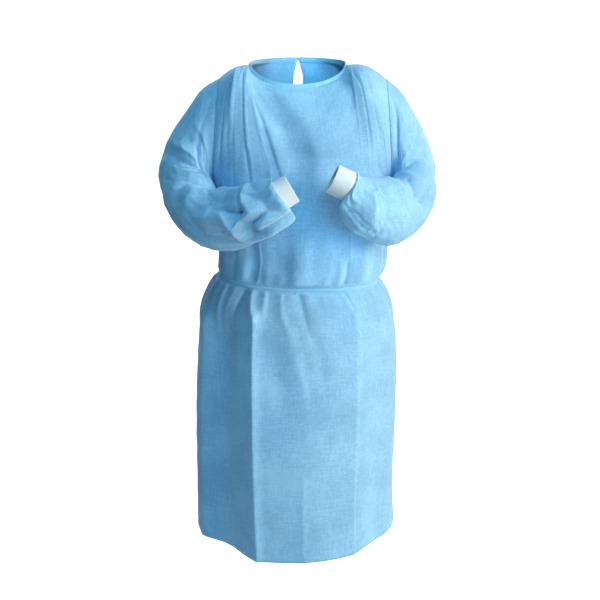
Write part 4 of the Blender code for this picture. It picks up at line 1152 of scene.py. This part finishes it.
def sleeve_point(arm, along, turn):
    """A point on the folded cloth of a sleeve, which starts on the armhole."""
    ring = (arm.rows, arm.mouth)
    lift = sleeve_height(arm, along, turn)
    lift = lift + SEAM_RISE * (1 - bump(along * SLEEVE_LENGTH, SEAM_REACH))
    start = armhole_point(arm_side(arm.rows), turn)
    plain = ring_point(*ring, np.zeros_like(along), turn)
    keep = 1 - smooth(along / ARMHOLE_BLEND)
    cuff_axis = unit(arm.mouth - ring_centre(arm.rows, np.array(1.0)))
    slide = cuff_axis * puff_slide(arm.slides, along, turn)[..., None]
    return ring_point(*ring, along, turn, lift) + (start - plain) * keep[..., None] + slide


elbow = sleeve_point(RIGHT_ARM, np.array([0.34]), np.array([0.0]))[0]
print("The right elbow stands out to", elbow.round(3))

# %% [markdown]
# ## Sheets from grids
# A sheet starts as a flat grid of squares, which is what cloth is: threads or fibres with no
# thickness to speak of. Every corner is then sent to its place in one go. A second layer of
# numbers, the pattern, keeps where each corner lies on the flat cloth in metres, and the finish
# reads its texture from there. Then the sheet gets its wall.

# %% Build a sheet
CLOTH_WALL = 0.0008


def open_grid(name, columns, rows):
    """A flat grid, and the column and the row of each of its corners."""
    bm = bmesh.new()
    pattern = bm.loops.layers.uv.new("pattern")
    bmesh.ops.create_grid(bm, x_segments=columns, y_segments=rows, size=0.5)
    for face in bm.faces:
        for loop in face.loops:
            loop[pattern].uv = (loop.vert.co.x + 0.5, loop.vert.co.y + 0.5)
    mesh = bpy.data.meshes.new(name)
    bm.to_mesh(mesh)
    bm.free()
    flat = np.empty(len(mesh.vertices) * 3)
    mesh.vertices.foreach_get("co", flat)
    shares = flat.reshape(-1, 3)[:, :2] + 0.5
    column, row = np.rint(shares * (columns, rows)).astype(int).T
    return mesh, column, row


def facing(bm, middle):
    """Above 0 where the faces look away from the middle, and below 0 where they look at it."""
    return sum(
        (face.calc_center_median() - middle).dot(face.normal) * face.calc_area() for face in bm.faces
    )


def lay_out(mesh, places, weld=0.0, closed=False, middle=None):
    """Sends the corners to their places, welds and closes a tube, and turns the faces alike."""
    mesh.vertices.foreach_set("co", places.ravel())
    mesh.update()
    bm = bmesh.new()
    bm.from_mesh(mesh)
    if weld:
        bmesh.ops.remove_doubles(bm, verts=bm.verts, dist=weld)
    if closed:
        bmesh.ops.holes_fill(bm, edges=[edge for edge in bm.edges if edge.is_boundary])
    bmesh.ops.recalc_face_normals(bm, faces=bm.faces)
    if middle is not None and facing(bm, middle) < 0:
        bmesh.ops.reverse_faces(bm, faces=bm.faces)
    bm.to_mesh(mesh)
    bm.free()


def add_piece(node, mesh, finish, cut, wall=0.0, offset=-1.0):
    """Puts a mesh into the scene in place of a solid, with its pattern in metres, and its wall."""
    uv = mesh.uv_layers["pattern"].uv
    flat = np.empty(len(uv) * 2)
    uv.foreach_get("vector", flat)
    uv.foreach_set("vector", (flat.reshape(-1, 2) * cut).ravel())
    piece = add_object(mesh.name, mesh)
    mesh.materials.append(finish)
    mesh.shade_smooth()
    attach(piece, "root")
    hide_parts(node)
    if wall:
        solid = piece.modifiers.new("wall", "SOLIDIFY")
        solid.thickness = wall
        solid.offset = offset
        solid.use_quality_normals = True
    return piece


print("Cloth gets a wall of", CLOTH_WALL * 1000, "mm")

# %% [markdown]
# ## The nonwoven finish
# The gown is spunbond polypropylene: fine plastic fibres laid at random and welded together by a
# grid of small hot points. Close up one sees a pattern of tiny dimples, and against the light a
# cloudy mottle where the fibres lie thicker. The finish is built from these: dimples and fibres
# give a bump, clouds change the colour a little, and light that grazes the fibres turns pale.

# %% Nodes for fibres and weld points
DIMPLE_PITCH = 0.0021
DIMPLE_SHARPNESS = 3.0
DIMPLE_DEPTH = -0.045  # in millimetres, like the next
FIBRE_RISE = 0.05
STREAK_SHARE = 0.65
CLOUD_MIDDLE = 1.65  # the mean of the noises that are added up
CLOUD_CONTRAST = 2.1
Noise = namedtuple("Noise", "scale detail roughness", defaults=(0.5,))
FIBRES = Noise(900.0, 3.0)
CLOUDS = Noise(150.0, 5.0, 0.65)
PATCHES = Noise(12.0, 2.0)
STREAKS = Noise(1.0, 2.0)
KNIT_LOOPS = Noise(1400.0, 2.0)
STREAK_STRETCHES = ((30.0, 420.0, 1.0), (420.0, 30.0, 1.0))


def math_node(tree, operation, first, second=None):
    node = add_node(tree, "Math")
    node.operation = operation
    for socket, value in zip(node.inputs, (first, second)):
        if isinstance(value, (int, float)):
            socket.default_value = value
        elif value is not None:
            link(tree, value, socket)
    return node.outputs[0]


def noise(tree, place, row):
    node = add_node(tree, "TexNoise", Scale=row.scale, Detail=row.detail, Roughness=row.roughness)
    link(tree, place, node.inputs["Vector"])
    return node.outputs["Fac"]


def stretched(tree, place, stretch):
    node = add_node(tree, "VectorMath")
    node.operation = "MULTIPLY"
    node.inputs[1].default_value = stretch
    link(tree, place, node.inputs[0])
    return node.outputs["Vector"]


def weld_points(tree, pattern):
    """A grid of round spots, 1 in the middle of each weld point."""
    split = add_node(tree, "SeparateXYZ")
    link(tree, pattern, split.inputs[0])
    turns = [
        math_node(tree, "MULTIPLY", split.outputs[axis], 2 * math.pi / DIMPLE_PITCH) for axis in "XY"
    ]
    waves = [math_node(tree, "COSINE", turn) for turn in turns]
    spots = math_node(tree, "ABSOLUTE", math_node(tree, "MULTIPLY", *waves))
    return math_node(tree, "POWER", spots, DIMPLE_SHARPNESS)


print("Weld points stand", DIMPLE_PITCH * 1000, "mm apart")

# %% The fibres as a node group


def fibre_group():
    """Height of the welded fibres in millimetres, and a mask of how thick they lie."""
    group = bpy.data.node_groups.new("welded_fibres", "ShaderNodeTree")
    for label in ("Pattern", "Place"):
        group.interface.new_socket(name=label, in_out="INPUT", socket_type="NodeSocketVector")
    for label in ("Height", "Cloud"):
        group.interface.new_socket(name=label, in_out="OUTPUT", socket_type="NodeSocketFloat")
    taken = group.nodes.new("NodeGroupInput").outputs
    given = group.nodes.new("NodeGroupOutput").inputs
    total = math_node(
        group, "ADD", noise(group, taken["Place"], CLOUDS), noise(group, taken["Place"], PATCHES)
    )
    for stretch in STREAK_STRETCHES:
        streak = noise(group, stretched(group, taken["Pattern"], stretch), STREAKS)
        total = math_node(group, "ADD", total, math_node(group, "MULTIPLY", streak, STREAK_SHARE))
    cloud = math_node(group, "SUBTRACT", total, CLOUD_MIDDLE)
    cloud = math_node(group, "MULTIPLY", cloud, CLOUD_CONTRAST)
    link(group, math_node(group, "ADD", cloud, 0.5), given["Cloud"])
    sunk = math_node(group, "MULTIPLY", weld_points(group, taken["Pattern"]), DIMPLE_DEPTH)
    fibres = noise(group, taken["Place"], FIBRES)
    raised = math_node(group, "MULTIPLY", fibres, FIBRE_RISE)
    link(group, math_node(group, "ADD", sunk, raised), given["Height"])
    return group


WELDED_FIBRES = fibre_group()
print("Nodes in the group:", len(WELDED_FIBRES.nodes))

# %% The finishes
CLOTH_BLUE = (0.135, 0.385, 0.66)
CLOTH_PALE = (0.260, 0.535, 0.84)
TAPE_BLUE = (0.19, 0.52, 0.79)
KNIT_WHITE = (0.80, 0.75, 0.78)


def object_place(tree):
    return add_node(tree, "TexCoord").outputs["Object"]


def add_relief(tree, height, strength, distance):
    relief = add_node(tree, "Bump", Strength=strength, Distance=distance)
    link(tree, height, relief.inputs["Height"])
    link(tree, relief.outputs["Normal"], tree.nodes["Principled BSDF"].inputs["Normal"])


def cloth_finish(name, deep, pale):
    """Two blues mixed by the fibres' clouds, with light that passes a little way inside."""
    finish = plain_finish(name, deep, roughness=0.7)
    tree = finish.node_tree
    shader = tree.nodes["Principled BSDF"]
    pattern = add_node(tree, "UVMap")
    pattern.uv_map = "pattern"
    fibres = add_node(tree, "Group")
    fibres.node_tree = WELDED_FIBRES
    link(tree, pattern.outputs["UV"], fibres.inputs["Pattern"])
    link(tree, object_place(tree), fibres.inputs["Place"])
    blend = mix_colours(tree, fibres.outputs["Cloud"], deep, pale)
    link(tree, blend, shader.inputs["Base Color"])
    add_relief(tree, fibres.outputs["Height"], strength=0.9, distance=0.001)
    set_inputs(shader, Sheen_Weight=0.35, Sheen_Roughness=1.0, Subsurface_Weight=0.4)
    set_inputs(shader, Subsurface_Radius=(1.0, 1.0, 1.0), Subsurface_Scale=0.002)
    return finish


def knit_finish(name, colour):
    finish = plain_finish(name, colour, roughness=0.85)
    tree = finish.node_tree
    loops = noise(tree, object_place(tree), KNIT_LOOPS)
    add_relief(tree, loops, strength=0.5, distance=0.0002)
    set_inputs(tree.nodes["Principled BSDF"], Sheen_Weight=0.2)
    return finish


NONWOVEN = cloth_finish("nonwoven", CLOTH_BLUE, CLOTH_PALE)
TAPE = cloth_finish("tape", TAPE_BLUE, TAPE_BLUE)
KNIT = knit_finish("knit", KNIT_WHITE)
print("Finishes:", NONWOVEN.name, TAPE.name, KNIT.name)

# %% [markdown]
# ## The front panel
# The front is one piece of cloth from the neckline to the hem, cut away at the armholes. It
# carries almost everything that the photograph shows: the pressed lines of the pack, the drapes
# from the neck, the blousing over the belt and the flat, stiff skirt. Its grid is closest where
# the creases are sharp, which saves faces where the cloth is smooth.

# %% Rows and columns of a panel


def spaced(start, end, count, spots, width, gain):
    """Places from start to end, closer together near the spots."""
    fine = np.linspace(start, end, 4001)
    density = 1 + gain * sum(bump(fine - spot, width) for spot in spots)
    passed = np.concatenate([[0.0], np.cumsum((density[1:] + density[:-1]) / 2)])
    return np.interp(np.linspace(0, passed[-1], count + 1), passed, fine)


ROW_COUNT = 236
FRONT_COLUMNS = 168
BACK_COLUMNS = 84
LEVEL_SPOTS = (BELT_LEVEL, BELT_LEVEL + 0.03, BELT_LEVEL - 0.04, -0.16)
LEVELS = spaced(HEM_LEVEL, NECK_LEVEL, ROW_COUNT, LEVEL_SPOTS, 0.05, 1.2)
FRONT_ANGLES = spaced(-90.0, 90.0, FRONT_COLUMNS, (-40, -24, -12, 5, 33, 44), 4.0, 1.0)
print("Rows are", np.diff(LEVELS).min().round(4), "to", np.diff(LEVELS).max().round(4), "m apart")

# %% Build the front
FRONT_CUT = (0.70, 1.13)
BODY_MIDDLE = Vector((0.0, 0.0, -0.55))
BELT_BITE = 0.0010
BITE_WIDTH = 0.006
BELT_BANK = 0.0008
BANK_WIDTH = 0.008
BANK_AWAY = 0.013


def belt_sink(angle, level):
    """The belt bites into the cloth, which stands up on both sides of it."""
    away = level - BELT_LEVEL
    beside = bump(np.abs(away) - BANK_AWAY, BANK_WIDTH)
    return BELT_BANK * beside - BELT_BITE * bump(away, BITE_WIDTH)


def add_panel(node, angles, lift, cut):
    """A body panel, with the angle of each column given for every level."""
    mesh, column, row = open_grid(f"{node}_cloth", angles.shape[1] - 1, ROW_COUNT)
    angle, level = angles[row, column], LEVELS[row]
    lay_out(mesh, body_point(angle, level, lift(angle, level)), middle=BODY_MIDDLE)
    return add_piece(node, mesh, NONWOVEN, cut, CLOTH_WALL)


front_angles = np.broadcast_to(FRONT_ANGLES, (ROW_COUNT + 1, FRONT_COLUMNS + 1))
front = add_panel("front", front_angles, belt_sink, FRONT_CUT)
print("The front has", len(front.data.polygons), "faces")

# %% [markdown]
# ## The two backs
# The gown opens down the back so that it can be put on from the front. The two panels part below
# the neck tie, and lap from the waist down. The left one lies on top. The photograph hides them,
# apart from their inside at the neck, so their folds are like those of the front.

# %% Build the backs
BACK_CUT = (0.36, 1.13)
BACK_START = 90.001  # just past the side seam, in degrees
LAP_RAISE = 0.0026
LAP_MARGIN = 8  # in degrees before the lap, where the raise starts
LAP_SLOPE = 6
LAP_TOP = -0.33
LAP_EASE = 0.06
BACK_SHARES = spaced(0.0, 1.0, BACK_COLUMNS, (0.66, 0.96), 0.06, 0.8)


def lap_sink(angle, level):
    """The left panel bites under the belt too, and steps out over the right one where they lap."""
    lap = -read(BACK_EDGES, "angle", level)
    across = smooth((angle - 180 + np.maximum(lap, 0) + LAP_MARGIN) / LAP_SLOPE)
    lapped = smooth((LAP_TOP - level) / LAP_EASE)
    return belt_sink(angle, level) + LAP_RAISE * across * lapped


back_edges = 180 - read(BACK_EDGES, "angle", LEVELS)
back_angles = BACK_START + (back_edges[:, None] - BACK_START) * BACK_SHARES[None, :]
back_left = add_panel("back_left", back_angles, lap_sink, BACK_CUT)
back_right = add_panel("back_right", -back_angles[:, ::-1], belt_sink, BACK_CUT)
print("The backs have", len(back_left.data.polygons), "faces each")

# %% [markdown]
# ## The sleeves
# A sleeve is cut as one flat piece and sewn into a tube along the underarm, so its two long edges
# meet. The grid is rolled up the same way and welded along that seam.

# %% Build the sleeves
SLEEVE_SIDES = 176
SLEEVE_RINGS = 168
SLEEVE_CUT = (0.50, 0.47)
TUBE_WELD = 1e-6
ALONGS = spaced(0.0, 1.0, SLEEVE_RINGS, (0.45, 0.85, 1.0), 0.09, 1.0)
TURNS = np.linspace(180.0, 540.0, SLEEVE_SIDES + 1)


def add_sleeve(node, arm):
    mesh, column, row = open_grid(f"{node}_cloth", SLEEVE_SIDES, SLEEVE_RINGS)
    turn = TURNS[column % SLEEVE_SIDES] % 360
    lay_out(mesh, sleeve_point(arm, ALONGS[row], turn), TUBE_WELD)
    return add_piece(node, mesh, NONWOVEN, SLEEVE_CUT, CLOTH_WALL)


sleeve_right = add_sleeve("sleeve_right", RIGHT_ARM)
sleeve_left = add_sleeve("sleeve_left", LEFT_ARM)
print("The sleeves have", len(sleeve_right.data.polygons), "faces each")

# %% [markdown]
# ## The knit cuffs
# Each sleeve ends in a short tube of white rib knit, doubled over at its mouth. The ribs run along
# the arm. They let it stretch over a hand and then close round the wrist.

# %% Build the cuffs
CUFF_RADIUS = 0.0330
CUFF_MOUTH_RADIUS = 0.0315
CUFF_WALL = 0.0016
CUFF_RIBS = 58
RIB_RISE = 0.00055
CUFF_SIDES = CUFF_RIBS * 6
CUFF_TUCK = 0.010  # how far the knit reaches into the sleeve's end
CUFF_FOLD_START = 0.97
CUFF_FOLD_SHARE = 0.03
TUCK_DEPTH = 0.0030
CUFF_CUT = (0.21, 0.045)
BEND = np.linspace(0.0, math.pi, 9)[1:-1]  # the turns of a doubled edge


def cuff_profile():
    """Places along the cuff and steps inward: down the outside, round the mouth, back inside."""
    outside = [(share, 0.0) for share in np.linspace(0.0, CUFF_FOLD_START, 22)]
    mouth = [
        (CUFF_FOLD_START + CUFF_FOLD_SHARE * math.sin(t), CUFF_WALL * (1 - math.cos(t)) / 2)
        for t in BEND
    ]
    inside = [(share, CUFF_WALL) for share in np.linspace(CUFF_FOLD_START, 0.0, 12)]
    return np.array(outside + mouth + inside)


def add_cuff(node, arm, crush):
    centre, _, up, forward = ring_frame(arm.rows, arm.mouth, np.array(1.0))
    start = centre - unit(arm.mouth - centre) * CUFF_TUCK
    profile = cuff_profile()
    mesh, column, row = open_grid(f"{node}_knit", CUFF_SIDES, len(profile) - 1)
    turn = (column % CUFF_SIDES) * 2 * math.pi / CUFF_SIDES
    share, inward = profile[row].T
    ribs = RIB_RISE * np.abs(np.cos(turn * CUFF_RIBS / 2)) * (1 - 0.6 * inward / CUFF_WALL)
    tuck = -TUCK_DEPTH * (1 - smooth((share - 0.08) / 0.14))
    oval = crush * (0.6 + 0.4 * share) * np.cos(2 * turn + 0.6) + crush * 0.35 * np.sin(3 * turn)
    radius = mix(CUFF_RADIUS, CUFF_MOUTH_RADIUS, share) - inward + ribs + tuck + oval
    around = up * np.cos(turn)[:, None] + forward * np.sin(turn)[:, None]
    middle = start + (arm.mouth - start) * share[:, None]
    lay_out(mesh, middle + around * radius[:, None], TUBE_WELD)
    return add_piece(node, mesh, KNIT, CUFF_CUT)


cuff_right = add_cuff("cuff_right", RIGHT_ARM, crush=0.0012)
cuff_left = add_cuff("cuff_left", LEFT_ARM, crush=0.0010)
print("Each cuff has", CUFF_RIBS, "ribs")

# %% [markdown]
# ## The neck binding
# The raw edge of the neckline is wrapped in a narrow folded tape, sewn through once. Its section
# is a U turned upside down, with a rounded fold on top and a leg on each side of the cloth.

# %% Build the binding
BINDING_WIDTH = 0.009
BINDING_WALL = 0.0022
BINDING_REACH = -0.0022  # how far its legs reach below the edge of the cloth
BINDING_END = 0.0053  # half the space between its ends at the back
BINDING_COLUMNS = 260
BINDING_CUT = (0.62, 0.018)
BINDING_LEAN = (-0.55, 0.35)  # inward at the sides, and forward at the front, for 1 up
PUCKERS = ((0.00025, 71), (0.0003, 23))  # heights, and how many go round


def wave(angle, count, start=0.0):
    """A wave that comes back this many times on the way round."""
    return np.sin(np.radians(angle * count) + start)


def neck_loop(turn):
    """The neckline as one loop, 0 at the middle front and 180 at the middle back."""
    return neck_point(np.where(turn >= 0, 1.0, -1.0), 90 * across_half(turn), np.abs(turn) > 90)


def binding_section():
    """Heights and steps out from the middle of the tape, over the fold and down inside."""
    half = BINDING_WALL / 2
    top = BINDING_WIDTH - half
    outside = [(height, half) for height in np.linspace(BINDING_REACH, top, 8)]
    fold = [(top + half * math.sin(t), half * math.cos(t)) for t in BEND]
    inside = [(height, -half) for height in np.linspace(top, BINDING_REACH, 8)]
    return np.array(outside + fold + inside)


def add_binding():
    """The tape stands up at front and back, leans in at the sides, and puckers a little."""
    last = 180 - math.degrees(math.asin(BINDING_END / NECK_HALF_WIDTH))
    section = binding_section()
    mesh, column, row = open_grid("neck_tape", BINDING_COLUMNS, len(section) - 1)
    turn = mix(-last, last, column / BINDING_COLUMNS)
    sine, cosine = circle(turn)
    up = unit(points(BINDING_LEAN[0] * sine, BINDING_LEAN[1] * cosine, 1.0))
    out = unit(np.cross(unit(neck_loop(turn + 0.5) - neck_loop(turn - 0.5)), up))
    height, step = section[row].T
    for pucker, count in PUCKERS:
        step = step + pucker * wave(turn, count)
    lay_out(mesh, neck_loop(turn) + up * height[:, None] + out * step[:, None])
    return add_piece("neck_binding", mesh, TAPE, BINDING_CUT, wall=0.0005, offset=0.0)


binding = add_binding()
print("The binding has", len(binding.data.polygons), "faces")

# %% [markdown]
# ## The belt
# A narrow strip of the same cloth, folded and sewn shut, is tied round the waist. It goes round
# as a soft, flattened band that rises and dips with the cloth. At the middle front lies a short
# doubled end, stitched down.

# %% Build the belt
BELT_WIDTH = 0.0085
BELT_WALL = 0.0016
BELT_END_ANGLE = 178.2
BELT_COLUMNS = 420
BELT_CUT = (1.03, 0.018)
TAB_CUT = (0.052, 0.015)
BAND_WELD = 1e-7
Way = namedtuple("Way", "path across out")


def add_band(name, node, way, width, thick, cut, corners=16):
    """A flattened, rounded band swept along a path, with its ends closed."""
    turn = np.arange(corners) * 2 * math.pi / corners
    across = signed_power(np.cos(turn), 0.55) / 2
    out = (signed_power(np.sin(turn), 0.8) + 1) / 2
    width, thick = (np.broadcast_to(size, len(way.path)) for size in (width, thick))
    mesh, column, row = open_grid(name, len(way.path) - 1, corners)
    place = (
        way.path[column]
        + way.across[column] * (across[row % corners] * width[column])[:, None]
        + way.out[column] * (out[row % corners] * thick[column])[:, None]
    )
    lay_out(mesh, place, BAND_WELD, closed=True)
    return add_piece(node, mesh, TAPE, cut)


def way_on_body(angle, level, lift):
    """A path round the cloth, with the directions up the cloth and out of it."""
    path = body_point(angle, level, lift)
    up = unit(body_point(angle, level + 0.003, lift) - path)
    return Way(path, up, body_normal(angle, level))


def add_belt():
    angle = np.linspace(-BELT_END_ANGLE, BELT_END_ANGLE, BELT_COLUMNS + 1)
    level = BELT_LEVEL + (0.0006 * wave(angle, 5) + 0.0004 * wave(angle, 13))
    climb = LAP_RAISE * smooth((np.abs(angle) - 160) / 8) - 0.0006
    width = 0.0062 + 0.0006 * wave(angle, 9, 1.0)
    thick = 0.0014 + 0.0003 * wave(angle, 7)
    return add_band("belt_band", "belt", way_on_body(angle, level, climb), width, thick, BELT_CUT)


def add_belt_tab():
    angle = np.linspace(-1.5, 13.5, 40)
    level = BELT_LEVEL - 0.0086 - 0.0006 * wave(angle, 14)
    way = way_on_body(angle, level, 0.0004)
    return add_band("belt_tab_band", "belt_tab", way, width=0.0060, thick=0.0018, cut=TAB_CUT)


belt = add_belt()
belt_tab = add_belt_tab()
print("The belt has", len(belt.data.polygons), "faces")

# %% [markdown]
# ## The ties
# At the back the belt and the neck binding are each tied in a simple knot, and their ends hang
# down. A knot here is a strip swept along the line of an overhand knot and pressed flat.

# %% Build the knots and their ends
BELT_KNOT_SIZE = (0.014, 0.009, 0.012)
NECK_KNOT_SIZE = (0.010, 0.007, 0.0085)
KNOT_CUT = (0.05, 0.012)
TAIL_STEPS = 90
TAIL_THICK = 0.0014
TAIL_CUT_WIDTH = 0.016
BELT_TAIL_LENGTH = 0.26
NECK_TAIL_LENGTH = 0.17
NECK_TAIL_WIDTH = 0.008
NECK_TAIL_PARTING = 0.007


def way_beside(path, out, step):
    """A path moved inward by a step, with the directions across it and out of it."""
    way = unit(np.gradient(path, axis=0))
    out = unit(out)
    out = unit(out - way * np.sum(out * way, axis=1)[:, None])
    return Way(path - out * step, np.cross(way, out), out)


def add_knot(name, node, centre, size):
    t = np.linspace(0, 2 * math.pi, 97)
    x, z = (np.sin(t) + 2 * np.sin(2 * t)) / 3, (np.cos(t) - 2 * np.cos(2 * t)) / 3
    line = points(x, -np.sin(3 * t) * 0.9, z)
    path = np.array(centre) + line * np.array(size) * (0.34, 0.30, 0.34)
    way = way_beside(path, points(x * 0.3, 1.0, z * 0.3), size[1] * 0.11)
    return add_band(name, node, way, size[0] * 0.42, size[1] * 0.22, KNOT_CUT, corners=12)


def add_tail(name, node, side, start, length, width, spread, parting=0.0):
    """A free end that hangs from a knot down the outside of the back.

    Just below the knot it steps aside by the parting, and then by the spread with its length.
    """
    drop = np.linspace(0.0, length, TAIL_STEPS)
    rise = float(read(BODY_SECTIONS, "dip", np.array(start[2])))
    behind = plain_body(np.full(TAIL_STEPS, 179.9), np.minimum(start[2] - rise - drop, NECK_LEVEL))
    sway = 0.0025 * np.sin(drop * 38 + side) * smooth(drop / 0.05)
    aside = width / 2 + spread * drop + parting * smooth(drop / 0.03)
    path = points(
        start[0] + side * (0.0006 + aside) + sway,
        np.maximum(start[1], behind[:, 1] + LAP_RAISE + 0.003) + 0.0006 * np.sin(drop * 60),
        mix(start[2], behind[:, 2], smooth(drop / 0.03)),
    )
    twist = 0.5 * np.sin(drop * 21 + side) * smooth(drop / 0.06)
    way = way_beside(path, points(np.sin(twist), np.cos(twist), 0.0), TAIL_THICK / 2)
    return add_band(name, node, way, width, TAIL_THICK, (length, TAIL_CUT_WIDTH))


print("The ends at the belt are", BELT_TAIL_LENGTH, "m long, and those at the neck", NECK_TAIL_LENGTH)

# %% Tie the belt and the neck


def add_belt_ties():
    behind = body_point(np.array(180.0), np.array(BELT_LEVEL), LAP_RAISE + 0.0003)
    centre = behind + np.array((0, BELT_KNOT_SIZE[1] / 2 + 0.0015, 0))
    start = centre - np.array((0, -BELT_KNOT_SIZE[1] / 4, BELT_KNOT_SIZE[2] / 2 - 0.003))
    tail = (start, BELT_TAIL_LENGTH, BELT_WIDTH)
    return [
        add_knot("belt_bow_knot", "belt_knot", centre, BELT_KNOT_SIZE),
        add_tail("belt_end_left", "belt_tail_left", 1, *tail, spread=0.10),
        add_tail("belt_end_right", "belt_tail_right", -1, *tail, spread=0.06),
    ]


def add_neck_ties():
    middle = neck_point(1.0, np.array(0.0), True)
    centre = middle + np.array((0, 0.002, 0.0003 + NECK_KNOT_SIZE[2] / 2))
    start = centre + np.array((0, NECK_KNOT_SIZE[1] / 2 + BELT_WALL / 2 + 0.0003, 0))
    tail = (start, NECK_TAIL_LENGTH, NECK_TAIL_WIDTH)
    return [
        add_knot("neck_bow_knot", "neck_knot", centre, NECK_KNOT_SIZE),
        add_tail("neck_end_left", "neck_tail_left", 1, *tail, 0.06, parting=NECK_TAIL_PARTING),
        add_tail("neck_end_right", "neck_tail_right", -1, *tail, 0.09, parting=NECK_TAIL_PARTING),
    ]


ties_at_waist = [belt, belt_tab] + add_belt_ties()
ties_at_neck = [binding] + add_neck_ties()
print("Tapes, knots and ends:", ", ".join(piece.name for piece in ties_at_waist + ties_at_neck))

# %% [markdown]
# ## The sheets of the body
# Each sheet's pattern is scaled to the size that it was cut to, in metres. Here the names of the front and
# the backs are printed.

print("Sheets of the front and backs:", front.name, back_left.name, back_right.name)
